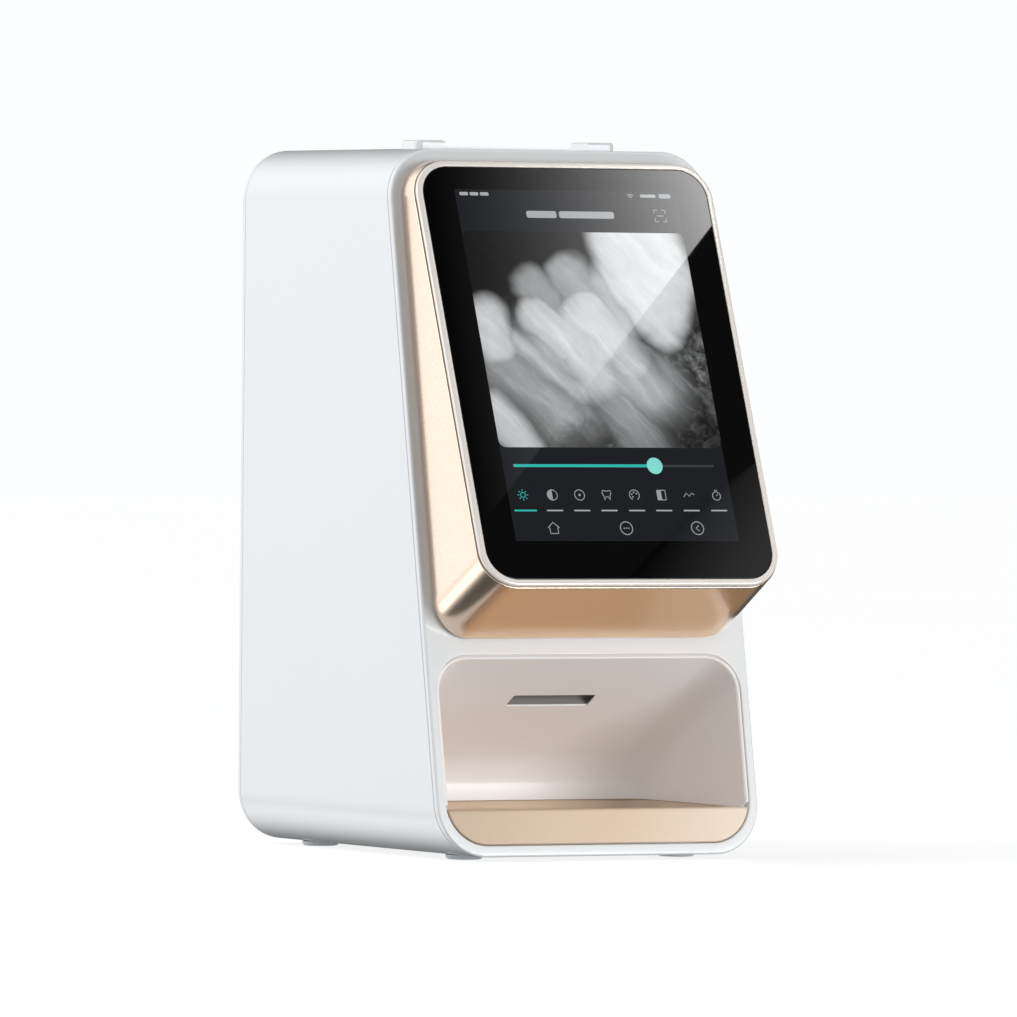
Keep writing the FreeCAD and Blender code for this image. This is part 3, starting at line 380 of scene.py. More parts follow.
# %% [markdown]
# A moulded surface is never one flat colour. Its tone drifts a little over the part, its gloss
# varies with the tool's polish, and a very fine skin breaks up sharp reflections. Metallic paint
# adds flakes: tiny specks that catch the light at slightly different angles.

# %% Moulded plastic and metallic paint
def moulded(name, color, rough, drift, skin_mm=0.35, depth_um=2.0, coat=0.0, **extra):
    """Plastic: slow tone drift, a fine skin and an uneven polish."""
    made = Shader(name)
    slow = made.noise(14.0, 3.0)
    fine = made.noise(1000 / skin_mm, 2.0)
    tone = made.blend(slow, shade(color, 1 - drift), shade(color, 1 + drift * 0.4))
    polish = rough + (made.noise(160.0, 3.0) - 0.5) * (rough * 0.22)
    normal = made.bump(fine, depth_um * 1e-6)
    return made.surface(Base_Color=tone, Roughness=polish, Normal=normal, Coat_Weight=coat, **extra)


def flake_paint(name, color, rough, metal, coat, flake=0.16, coat_rough=0.12, fade=0.0, underside_light=None):
    """Metallic paint: flakes in the tone and the direction. The fade is painted light: shade on the
    left, a highlight on the right. The underside colour is painted warm bounce light on down faces."""
    made = Shader(name)
    flakes = made.noise(2600.0, 1.0)
    cloud = made.noise(22.0, 3.0)
    speck = made.blend(flakes.step(0.35, 0.7), shade(color, 1 - flake), shade(color, 1 + flake))
    tone = made.blend(cloud * 0.35, speck, shade(color, 0.93))
    # painted light: the part's left end is darkened as painted shade and its right end paled as a painted
    # highlight
    if fade:
        across = made.node("ShaderNodeSeparateXYZ", {}, {0: made.place()})[0]
        tone = made.blend(fade * (1 - across.step(-0.09, 0.02)), tone, shade(color, 0.62))
        tone = made.blend(fade * across.step(0.0, 0.09), tone, (1.0, 0.92, 0.82, 1))
    # painted light: faces that look down take a warmer, brighter amber and less metal, standing in for warm
    # light bounced up onto them
    if underside_light:
        facing = made.node("ShaderNodeNewGeometry")[1]
        height = made.node("ShaderNodeSeparateXYZ", {}, {0: facing})[2]
        down = 1 - height.step(-0.872, -0.78)
        tone = made.blend(down, tone, underside_light)
        metal = metal - down * (metal * 0.63)
    polish = rough + (cloud - 0.5) * 0.05
    normal = made.bump(flakes, 6e-6)
    return made.surface(
        Base_Color=tone,
        Roughness=polish,
        Metallic=metal,
        Normal=normal,
        Coat_Weight=coat,
        Coat_Roughness=coat_rough,
        Coat_IOR=1.9,
    )


WHITE = (0.86, 0.875, 0.885, 1)
GOLD = (0.83, 0.635, 0.48, 1)
PALE_GOLD = (0.95, 0.89, 0.825, 1)
# a warm amber that stands for light bounced onto the head's underside: painted light
UNDERSIDE_LIGHT_GOLD = (0.98, 0.60, 0.31, 1)
TRAY_GOLD = (0.74, 0.56, 0.405, 1)
BAY_GREY = (0.845, 0.815, 0.805, 1)
white_shell = moulded("white_gloss_plastic", WHITE, 0.24, drift=0.012, depth_um=1.2, coat=0.35)
gold_paint = flake_paint(
    "champagne_gold_paint", GOLD, 0.22, metal=0.95, coat=1.0, coat_rough=0.16, underside_light=UNDERSIDE_LIGHT_GOLD
)
ring_gold = flake_paint("pale_gold_bezel", PALE_GOLD, 0.2, metal=0.12, coat=0.3, flake=0.04)
# the bay's grey also glows faintly: painted light that lifts the shaded pocket
bay_grey_with_painted_glow = moulded(
    "warm_grey_gloss",
    BAY_GREY,
    0.33,
    drift=0.03,
    coat=0.15,
    Emission_Color=(1.0, 0.97, 0.96, 1),
    Emission_Strength=0.1,
)
# the chute is moulded in the bay's grey; this dark grey is painted shade, so the deep slot reads dark
chute_painted_shade = moulded("chute_grey", (0.2, 0.19, 0.187, 1), 0.5, drift=0.06)
# the tray's fade paints shade on its left end and a highlight on its right end
tray_paint = flake_paint("tray_gold_paint", TRAY_GOLD, 0.46, metal=0.1, coat=0.05, flake=0.05, fade=0.5)
black_plastic = moulded("black_plastic", (0.012, 0.012, 0.013, 1), 0.45, drift=0.2, depth_um=6.0)
gloss_black = moulded("gloss_black_plastic", (0.01, 0.01, 0.011, 1), 0.16, drift=0.2)
rubber = moulded("foot_rubber", (0.02, 0.02, 0.02, 1), 0.8, drift=0.25, skin_mm=0.8, depth_um=30.0)
print(len(bpy.data.materials), "finishes so far")

# %% [markdown]
# ## The case tube
# On the real machine the case is one moulding: a rounded tube, 2.6 mm thick, cut on a slant at the
# front and square at the back. Its edges carry a small round, which draws a bright line at the seam.
# The roof has a slot for the plates, which is cut through the finished skin.

# %% Build the case tube and cut its roof
CASE_BEHIND = 3.6
WALL = 2.6
SEAM = 0.45


def band(name, rings, body, **kwargs):
    mesh = bmesh.new()
    skin(mesh, rings, closed=True)
    return finish_piece(name, mesh, body, **kwargs)


def case_loop(inset):
    return rounded(HALF, BASE, TOP, CORNER, inset=inset, steps=20)


case_rings = [on_face(case_loop(inset), CASE_BEHIND + depth) for inset, depth in quarter(SEAM, 3)]
case_rings += [upright(case_loop(inset), COVER - depth) for inset, depth in reversed(quarter(SEAM, 3))]
case_rings += [upright(case_loop(WALL), COVER), on_face(case_loop(WALL), CASE_BEHIND)]
case = band(
    "case_tube", case_rings, "base", stands_for=["main_casing"], slot="white_shell", material=white_shell
)


def rounded_box(half, y, reach, low, high, radius):
    """A box mesh about x = 0 and a depth y, with its upright edges rounded."""
    mesh = bmesh.new()
    flat = rounded(half, -reach, reach, radius, steps=3)
    rows = [[Vector((x, y + across, z)) for x, across in flat] for z in (low, high)]
    skin(mesh, rows, caps=(True, True))
    bmesh.ops.recalc_face_normals(mesh, faces=mesh.faces)
    return mesh


def carve(piece, cutter_mesh, turn=0.0, about=None):
    """Cuts a closed mesh out of a piece, then bakes the result."""
    if turn:
        around_x = Matrix.Rotation(turn, 3, "X")
        bmesh.ops.rotate(cutter_mesh, verts=cutter_mesh.verts, cent=about * MM, matrix=around_x)
    data = mesh_data("cutter", cutter_mesh)
    cutter = add_object("cutter", data)
    piece.modifiers.remove(piece.modifiers["weighted_normals"])
    boolean = piece.modifiers.new("cut", "BOOLEAN")
    boolean.object = cutter
    boolean.solver = "EXACT"
    bpy.context.view_layer.update()
    done = piece.evaluated_get(bpy.context.evaluated_depsgraph_get())
    old = piece.data
    piece.data = bpy.data.meshes.new_from_object(done)
    piece.data.name = piece.name
    piece.modifiers.remove(boolean)
    bpy.data.meshes.remove(old)
    bpy.data.objects.remove(cutter)
    bpy.data.meshes.remove(data)
    weigh_normals(piece)
    print(piece.name, "cut:", len(piece.data.polygons), "faces")


guide_low, guide_high = box_mm("inlet_guide")
inlet_y = (guide_low.y + guide_high.y) / 2
THROAT_HALF, THROAT_REACH, THROAT_R = 35.5, 7.7, 2.0
CUT_PAST = 8
carve(case, rounded_box(THROAT_HALF, inlet_y, THROAT_REACH, TOP - CUT_PAST, TOP + CUT_PAST, THROAT_R))

# %% [markdown]
# ## The front frame
# A flat rim closes the front of the tube. It is one moulding with two windows: the bay opening at
# the bottom and a wiring window that the display head hides. The outer and bay edges are rounded;
# a skirt behind the rim slides into the tube and leaves a fine seam around the machine.

# %% Build the front frame
FRAME_DEEP = 3.0
OUTER_ROUND = 1.1
OPEN_ROUND = 0.7
BAY_LOW, BAY_HIGH = BASE + 4.8, BASE + 85.5
BAY_R_LOW, BAY_R_HIGH = 19.0, 16.0
WINDOW_HALF, WINDOW_LOW, WINDOW_HIGH, WINDOW_R = 62.5, 104, 291, 10
SKIRT_OUT, SKIRT_IN, SKIRT_FROM, SKIRT_TO = 2.9, 3.9, 2.9, 11


def bay_loop(inset, steps=CORNER_STEPS):
    return rounded(OPEN_HALF, BAY_LOW, BAY_HIGH, BAY_R_LOW, BAY_R_HIGH, inset, steps)


def face_up(z_prime):
    """Height of a point that far up the slanted face."""
    return BASE + z_prime * math.cos(FACE_LEAN)


def window_loop(inset):
    return rounded(WINDOW_HALF, face_up(WINDOW_LOW), face_up(WINDOW_HIGH), WINDOW_R, inset=inset, steps=4)


def fill_between(mesh, *rows):
    """Fills the flat area that lies between several loops of vertices."""
    edges = []
    for row in rows:
        for i, vert in enumerate(row):
            after = row[(i + 1) % len(row)]
            edges.append(mesh.edges.get((vert, after)) or mesh.edges.new((vert, after)))
    normal = (0, -math.cos(FACE_LEAN), math.sin(FACE_LEAN))
    bmesh.ops.triangle_fill(mesh, use_beauty=True, edges=edges, normal=normal)


mesh = bmesh.new()
outer_rings = [on_face(case_loop(i), d) for i, d in quarter(OUTER_ROUND)]
outer = skin(mesh, outer_rings + [on_face(case_loop(0), FRAME_DEEP)])
bay_rings = [on_face(bay_loop(-i), d) for i, d in quarter(OPEN_ROUND)]
bay = skin(mesh, bay_rings + [on_face(bay_loop(0), FRAME_DEEP)])
window = skin(mesh, [on_face(window_loop(0), 0), on_face(window_loop(0), FRAME_DEEP)])
fill_between(mesh, outer[0], bay[0], window[0])
fill_between(mesh, outer[-1], bay[-1], window[-1])
skirt = ((SKIRT_OUT, SKIRT_FROM), (SKIRT_OUT, SKIRT_TO), (SKIRT_IN, SKIRT_TO), (SKIRT_IN, SKIRT_FROM))
skin(mesh, [on_face(case_loop(inset), behind) for inset, behind in skirt], closed=True)
finish_piece("front_rim", mesh, "base", ["front_frame"], "white_shell", white_shell)

# %% [markdown]
# ## The bay
# The bay is a deep glossy pocket. Its mouth is straight for 16 mm; behind that the ceiling slopes
# down to the back wall, so that a plate slides out under it. Wide rounds soften the back, which is
# why the pocket shows long soft reflections and no hard corners. Low at the front its edge stands
# back, to leave room for the tray's strip.

# %% Build the bay's liner and cut the exit slot
MOUTH = FRONT + 16.15
BACK_WALL = FRONT + 99.6
BACK_TOP = BASE + 36.1
LINER_GAP = 0.14
LINER_WALL = 1.6
INNER = LINER_GAP + LINER_WALL
CEILING_WALL = 0.7
STRIP_TOP = BASE + 20.0
STRIP_ROOM = 3.6
LIP_BEHIND, LIP_ROUND = 0.7, 1.3
BACK_ROUND, BACK_CORNER = 9.0, 13.0
LINER_STEPS = 18


def liner_edge(inset, behind=LIP_BEHIND):
    """The liner's front edge; low down it stands back behind the tray's strip."""
    back = max(behind, STRIP_ROOM)
    flat = bay_loop(inset, LINER_STEPS)
    return [Vector((x, face_y(z) + (back if z < STRIP_TOP + 2 else behind), z)) for x, z in flat]


def along_bay(y):
    """0 at the straight mouth's end, 1 at the back wall."""
    return (y - MOUTH) / (BACK_WALL - MOUTH)


def ceiling_z(y):
    """The underside of the ceiling at depth y, where it has sloped down."""
    high = BAY_HIGH - INNER
    return high + along_bay(y) * (BACK_TOP - high)


def liner_back(inset, y):
    """The bay's outline at depth y."""
    r_low, r_high = (
        radius - INNER + along_bay(y) * (BACK_CORNER - radius + INNER) for radius in (BAY_R_LOW, BAY_R_HIGH)
    )
    flat = rounded(OPEN_HALF - INNER, BAY_LOW + INNER, ceiling_z(y), r_low, r_high, inset, LINER_STEPS)
    return upright(flat, y)


BACK_STEPS = 8
inner_rings = [liner_edge(LINER_GAP + 0.3)]
inner_rings += [liner_edge(INNER - inset, LIP_BEHIND + depth) for inset, depth in quarter(LIP_ROUND, 5)]
for step in range(BACK_STEPS + 1):
    inner_rings.append(liner_back(0, MOUTH + (BACK_WALL - BACK_ROUND - MOUTH) * step / BACK_STEPS))
for step in range(1, BACK_STEPS + 1):
    turn = math.radians(90 * step / BACK_STEPS)
    inner_rings.append(
        liner_back(BACK_ROUND * (1 - math.cos(turn)), BACK_WALL - BACK_ROUND * (1 - math.sin(turn)))
    )
outer_rings = [
    liner_edge(LINER_GAP),
    liner_back(-LINER_WALL, MOUTH - 1),
    liner_back(-CEILING_WALL, MOUTH + 2),
    liner_back(-CEILING_WALL, BACK_WALL - 4),
    liner_back(4 - CEILING_WALL, BACK_WALL + LINER_WALL),
]
mesh = bmesh.new()
skin(mesh, list(reversed(outer_rings)) + inner_rings, caps=(True, True))
liner = finish_piece("bay_pocket", mesh, "base", ["bay_liner"], "bay_grey", bay_grey_with_painted_glow, sharp=50)
PATH_Y = FRONT + 37.0
SLOT_HALF, SLOT_DEEP, SLOT_R = 20.0, 4.6, 1.0
SLOT_FROM, SLOT_TO = 35, 150
exit_cut = rounded_box(SLOT_HALF, PATH_Y, SLOT_DEEP, SLOT_FROM, SLOT_TO, SLOT_R)
carve(liner, exit_cut, -FACE_LEAN, Vector((0, PATH_Y, BASE)))

# %% [markdown]
# Above the slot stands the chute, a flat tube that leads the plates down from the drive. Its mouth
# is cut to the slope of the ceiling, so that no lip shows below.

# %% Build the chute
chute_top = box_mm("exit_chute")[1].z
CHUTE_HALF, CHUTE_DEEP, CHUTE_WALL, CHUTE_R = 21.75, 4.75, 1.0, 1.2
MOUTH_LIFT = 0.5


def chute_loop(grow, mouth):
    """The chute's outline, grown outwards, level at its top or cut along the ceiling at its mouth."""
    ring = []
    slope = math.tan(FACE_LEAN)
    fall = (ceiling_z(BACK_WALL) - ceiling_z(MOUTH)) / (BACK_WALL - MOUTH)
    reach = CHUTE_DEEP + grow
    for x, across in rounded(CHUTE_HALF + grow, -reach, reach, CHUTE_R + grow, steps=4):
        z = chute_top
        if mouth:
            # where the sloped ceiling, lifted a little, meets this line of the leaning tube
            z = (ceiling_z(PATH_Y + across) + MOUTH_LIFT - fall * slope * BASE) / (1 - fall * slope)
        ring.append(Vector((x, PATH_Y + across + (z - BASE) * slope, z)))
    return ring


# the chute wears dark grey as painted shade for the slot
band(
    "exit_tube",
    [chute_loop(CHUTE_WALL, True), chute_loop(CHUTE_WALL, False), chute_loop(0, False), chute_loop(0, True)],
    "base",
    stands_for=["exit_chute"],
    slot="bay_grey",
    material=chute_painted_shade,
)

# %% [markdown]
# ## The collection tray
# Plates drop into a tray that slides out at the front. Its visible part is a shallow strip, curved
# up at both ends like a smile, which fills the foot of the bay. Behind the strip lies a pan with a
# rounded dish; both are painted a paler gold than the head.

# %% Build the tray
TRAY_GAP = 0.4
TRAY_HALF = OPEN_HALF - TRAY_GAP
TRAY_LOW = BAY_LOW + TRAY_GAP
TRAY_R = BAY_R_LOW - TRAY_GAP
STRIP_THICK = 3
PAN_FRONT, PAN_BACK, PAN_R = 2, 97.5, 9.0
DISH_RIM, DISH_FRONT, DISH_BACK, DISH_R, DISH_ROUND = 5, 9, 95.6, 8, 3
tray_centre_z = TRAY_LOW + TRAY_R


def strip_loop(inset):
    """The foot of the bay's outline, cut level at the strip's top."""
    steps = 22
    radius = TRAY_R - inset
    top = STRIP_TOP - inset
    end = math.degrees(math.asin((top - tray_centre_z) / radius))
    points = []
    for side, angles in ((1, range(steps + 1)), (-1, range(steps, -1, -1))):
        for step in angles:
            angle = math.radians(-90 + (end + 90) * step / steps)
            x = TRAY_HALF - TRAY_R + radius * math.cos(angle)
            points.append((side * x, tray_centre_z + radius * math.sin(angle)))
    return points


def pan_loop(z, inset=0.0):
    """The pan's outline seen from above, at height z."""
    reach = math.sqrt(max((TRAY_R - 2) ** 2 - (tray_centre_z - z) ** 2, 0.01))
    half = TRAY_HALF - TRAY_R + reach - inset
    front, back = face_y(z) + PAN_FRONT + inset, FRONT + PAN_BACK - inset
    flat = rounded(half, front, back, 1.0 + inset, PAN_R - inset * 0.5, steps=8)
    return [Vector((x, y, z)) for x, y in flat]


mesh = bmesh.new()
strip_rings = [on_face(strip_loop(i), d) for i, d in quarter(0.8)]
strip_rings += [on_face(strip_loop(i), STRIP_THICK - d) for i, d in reversed(quarter(0.5, 2))]
skin(mesh, strip_rings, caps=(True, True))
PAN_LOW = TRAY_LOW + 2.2
DISH_FLOOR = STRIP_TOP - 6
pan_rings = [pan_loop(PAN_LOW + (STRIP_TOP - PAN_LOW) * (k / 6) ** 2) for k in range(7)]
pan_rings += [pan_loop(STRIP_TOP, 3)]


def dish_loop(z, inset):
    half = TRAY_HALF - DISH_RIM - inset
    flat = rounded(half, FRONT + DISH_FRONT + inset, FRONT + DISH_BACK - inset, DISH_R, steps=8)
    return [Vector((x, y, z)) for x, y in flat]


pan_rings += [dish_loop(STRIP_TOP, 0), dish_loop(STRIP_TOP - 0.3, 0.15)]
for height, inset in quarter(DISH_ROUND):
    pan_rings.append(dish_loop(DISH_FLOOR + height, 0.6 + inset))
skin(mesh, pan_rings, caps=(True, True))
finish_piece("tray", mesh, "tray", ["collection_tray"], "gold_shell", tray_paint, sharp=50)

# %% [markdown]
# ## The display head
# The head is a tapered shell. Its back lies on the slanted face and its front tilts further back,
# for a person who stands at the bench, so it is deepest at its foot. The skin runs from the wide
# outline to the narrower one; a generous round at the back leaves a shaded groove along the case.

# %% Build the head's shell
HEAD_R = 17.0
HEAD_LOW, HEAD_HIGH = 93.1, 302.25
FACE_UP = Vector((0, math.sin(FACE_LEAN), math.cos(FACE_LEAN)))
FACE_ORIGIN = Vector((0, FRONT, BASE))
HEAD_STEPS = 18


def head_back(inset):
    flat = rounded(OPEN_HALF, HEAD_LOW, HEAD_HIGH, HEAD_R, inset=inset, steps=HEAD_STEPS)
    return [FACE_ORIGIN + RIGHT * x + FACE_UP * z for x, z in flat]


def head_front(inset, behind=0.0):
    return on_screen(rounded(HEAD_HALF, 0, HEAD_LENGTH, HEAD_R, inset=inset, steps=HEAD_STEPS), behind)


def head_at(share, inset):
    """The head's outline part of the way from its back to its front."""
    return [back.lerp(front, share) for back, front in zip(head_back(inset), head_front(inset))]


BASE_ROUND = 3.5
FRONT_LIP, MIDDLE_LIP, BACK_LIP = 3.4, 4.2, 5.4
mesh = bmesh.new()
head_rings = []
for inset, depth in quarter(BASE_ROUND, 7):
    pairs = zip(head_back(inset), head_front(inset))
    head_rings.append([back + (front - back).normalized() * depth for back, front in pairs])
head_rings += [head_at(share, 0) for share in (0.35, 0.6, 0.85)]
head_rings += [head_front(i, d) for i, d in reversed(quarter(0.5, 3))]
head_rings += [head_front(FRONT_LIP), head_at(0.8, MIDDLE_LIP), head_back(BACK_LIP)]
skin(mesh, head_rings, closed=True)
finish_piece("head_shell", mesh, "base", ["display_housing"], "gold_shell", gold_paint, sharp=45)

# %% [markdown]
# ## Bezel and glass
# A polished metal band frames the glass and stands 2.2 mm proud of the head. The glass drops in
# a hair below the band's front, so a dark line shows all around between them. A black seal between
# the band and the head draws a second dark line outside.

# %% Build the bezel and the glass
RING_HALF = HEAD_HALF - RING_INSET
RING_WIDE = 2.8
RING_TOP = RING_INSET + RING_LENGTH
GLASS_GAP = 0.12
GROOVE = 0.55


def ring_loop(inset, behind):
    flat = rounded(RING_HALF, RING_INSET, RING_TOP, HEAD_R - RING_INSET, inset=inset, steps=HEAD_STEPS)
    return on_screen(flat, behind)


ring_rings = [ring_loop(0, -GROOVE)]
ring_rings += [ring_loop(i, d - RING_PROUD) for i, d in reversed(quarter(RING_ROUND, 6))]
ring_rings += [ring_loop(RING_WIDE - i, d - RING_PROUD) for i, d in quarter(0.35, 3)]
ring_rings += [ring_loop(RING_WIDE, -GROOVE)]
band("screen_bezel", ring_rings, "base", stands_for=["bezel_ring"], slot="gold_ring", material=ring_gold)

SEAL_OUT, SEAL_IN, SEAL_BACK, SEAL_FRONT = 0.5, 2.2, 0.3, -0.7
seal = ((SEAL_OUT, SEAL_BACK), (SEAL_OUT, SEAL_FRONT), (SEAL_IN, SEAL_FRONT), (SEAL_IN, SEAL_BACK))
seal_rings = [ring_loop(inset, behind) for inset, behind in seal]
band("bezel_seal", seal_rings, "base", material=rubber)

GLASS_FRONT = -2.0
GLASS_THICK = 1.8
BLACK_GLASS = (0.0018, 0.0018, 0.002, 1)
GLASS_POLISH = 0.012
glass_inset = RING_WIDE + GLASS_GAP
glass_face = moulded("black_display_glass", BLACK_GLASS, GLASS_POLISH, drift=0.1, depth_um=0.02)
mesh = bmesh.new()
glass_rings = [ring_loop(glass_inset + i, GLASS_FRONT + d) for i, d in quarter(0.35, 3)]
glass_rings += [ring_loop(glass_inset, GLASS_FRONT + GLASS_THICK)]
skin(mesh, glass_rings, caps=(True, True))
finish_piece("display_glass", mesh, "base", ["cover_glass"], "screen_glass", glass_face)

# %% [markdown]
# ## What the screen shows
# The lit area is an 8-inch panel under the glass. Its picture is a dental X-ray; around it lie a
# status bar, a slider and two rows of icons. Each is a plate 0.06 mm thick on the glass, so that it
# takes the same reflections, and any wording is a plain bar.

# %% Flat shapes on the screen
LIT_WIDE = 107.5
LIT_LOW, LIT_HIGH = 21.0, 182.0
LIT_TALL = LIT_HIGH - LIT_LOW
FILM = 0.06
# a film's back sinks this far into what it lies on, so that no gap shows
FILM_SINK = 0.02


def lit(u, v):
    """A point of the lit area: u from its left, v from its top, both 0 to 1."""
    return ((u - 0.5) * LIT_WIDE, LIT_HIGH - v * LIT_TALL)


def film(mesh, outline, level=1):
    """A thin closed plate with this outline, on the glass (level 0) or on the films below it."""
    back = GLASS_FRONT - level * FILM
    skin(mesh, [on_screen(outline, back + FILM_SINK), on_screen(outline, back - FILM)], caps=(True, True))


def moved(centre, outline):
    """An outline about (0, 0), moved to a centre."""
    return [(centre[0] + x, centre[1] + z) for x, z in outline]


def disc(x, z, radius, start=0, sweep=360, steps=32):
    angles = [math.radians(start + sweep * k / steps) for k in range(steps + (sweep < 360))]
    return [(x + radius * math.cos(a), z + radius * math.sin(a)) for a in angles]


def ribbon(mesh, points, width, closed=False):
    """A flat line of even width along points, on the lit area's film."""
    count = len(points)
    rings = []
    for i, (x, z) in enumerate(points):
        before = points[i - 1] if closed or i > 0 else points[i]
        after = points[(i + 1) % count] if closed or i < count - 1 else points[i]
        along = Vector((after[0] - before[0], after[1] - before[1])).normalized()
        side = Vector((-along.y, along.x)) * width / 2
        left, right = (x + side.x, z + side.y), (x - side.x, z - side.y)
        back = on_screen([left, right], GLASS_FRONT - FILM + FILM_SINK)
        rings.append(back + on_screen([right, left], GLASS_FRONT - 2 * FILM))
    skin(mesh, rings, closed=closed, caps=(not closed, not closed))


def screen_piece(name, draw, material, *args):
    mesh = bmesh.new()
    draw(mesh, *args)
    return finish_piece(name, mesh, "base", material=material, weighted=False)


def lit_surface(made, tone, strength):
    """The glass's own black gloss, with light coming through it."""
    return made.surface(
        Base_Color=BLACK_GLASS, Roughness=GLASS_POLISH, Emission_Color=tone, Emission_Strength=strength
    )


def glowing(name, color, strength):
    """A lit shape, a little uneven like a real backlight."""
    made = Shader(name)
    tone = made.blend(made.noise(30.0, 2.0), shade(color, 0.93), shade(color, 1.04))
    return lit_surface(made, tone, strength)


panel_glow = glowing("lit_panel", (0.72, 0.8, 1.0, 1), 0.0145)
icon_glow = glowing("icon_grey", (0.9, 0.93, 1.0, 1), 0.36)
teal_glow = glowing("icon_teal", (0.04, 0.62, 0.56, 1), 0.75)
knob_glow = glowing("slider_knob", (0.24, 0.75, 0.67, 1), 0.95)
track_glow = glowing("slider_track", (0.75, 0.8, 0.9, 1), 0.055)
text_glow = glowing("text_bars", (0.93, 0.95, 1.0, 1), 0.42)


def draw_area(mesh):
    film(mesh, rounded(LIT_WIDE / 2, LIT_LOW, LIT_HIGH, 0.4, steps=3), level=0)


screen_piece("lit_area", draw_area, panel_glow)

# %% [markdown]
# The X-ray is made of soft capsules: one for each crown and root, laid from the top left down to the
# right as molars lie in a jaw. Where they overlap the brightest wins. Stretched noise gives the
# roots their streaks, and fine noise gives the bone between them its mesh.

# %% Paint the X-ray as sums
PICTURE_TOP, PICTURE_FOOT, PICTURE_R = 0.12, 0.736, 3.2
LEAN_OF_ROOTS = math.radians(52)
SWAY = 0.075
picture_high = lit(0, PICTURE_TOP)[1]
picture_low = lit(0, PICTURE_FOOT)[1]
# crown or root: from (u, w), to (u, w), radius, softness, brightness; w is measured down in widths
TEETH = [
    (0.30, 0.50, 0.74, 0.68, 0.13, 0.14, 0.50),
    (0.10, 0.58, 0.36, 0.82, 0.13, 0.12, 0.38),
    (0.54, 0.68, 0.66, 0.92, 0.11, 0.11, 0.38),
    (0.43, 0.42, 0.50, 0.62, 0.12, 0.08, 0.68),
    (0.765, 0.03, 0.80, 0.18, 0.205, 0.040, 0.82),
    (0.79, 0.22, 0.81, 0.31, 0.150, 0.045, 0.80),
    (0.82, 0.34, 0.825, 0.43, 0.075, 0.045, 0.78),
    (0.50, 0.36, 0.56, 0.46, 0.112, 0.035, 0.78),
    (0.56, 0.45, 0.66, 0.57, 0.095, 0.060, 0.66),
    (0.66, 0.55, 0.78, 0.68, 0.080, 0.070, 0.48),
    (0.58, 0.22, 0.66, 0.40, 0.070, 0.060, 0.60),
    (0.28, 0.37, 0.36, 0.46, 0.092, 0.030, 0.74),
    (0.37, 0.46, 0.47, 0.60, 0.085, 0.055, 0.70),
    (0.45, 0.19, 0.50, 0.26, 0.100, 0.030, 0.46),
    (0.28, 0.23, 0.33, 0.29, 0.085, 0.035, 0.42),
    (0.045, 0.37, 0.07, 0.49, 0.092, 0.040, 0.72),
    (0.16, 0.48, 0.42, 0.70, 0.055, 0.055, 0.54),
    (0.10, 0.64, 0.42, 0.86, 0.055, 0.055, 0.46),
    (0.00, 0.74, 0.16, 1.00, 0.075, 0.050, 0.68),
]


def picture_place(made):
    """Where a point lies on the picture: u to the right and w down, both in picture widths."""
    place = made.place()
    across = made.node("ShaderNodeSeparateXYZ", {}, {0: place})[0]
    upwards = {0: place, 1: tuple(SCREEN_UP)}
    up = made.node("ShaderNodeVectorMath", {"operation": "DOT_PRODUCT"}, upwards)[1]
    top = (picture_high + SCREEN_ORIGIN.dot(SCREEN_UP)) * MM
    wide = LIT_WIDE * MM
    u = across / wide + 0.5 + (made.noise(48.0, 2.0) - 0.5) * SWAY
    w = (top - up) / wide + (made.noise(60.0, 2.0) - 0.5) * SWAY
    return u, w


def tooth_glow(u, w, streaks, tooth):
    """The brightness that one crown or root adds: a soft capsule with a paler core."""
    u0, w0, u1, w1, radius, soft, bright = tooth
    du, dw = u1 - u0, w1 - w0
    pu, pw = u - u0, w - w0
    share = ((pu * du + pw * dw) / (du * du + dw * dw)).math("ADD", 0.0, clamp=True)
    gap_u, gap_w = pu - share * du, pw - share * dw
    distance = (gap_u * gap_u + gap_w * gap_w).math("SQRT") - radius
    body = 1 - distance.step(-soft, soft)
    return body * (bright * (0.74 + streaks * 0.52) - distance.step(-0.1, 0.0) * (0.16 * bright))


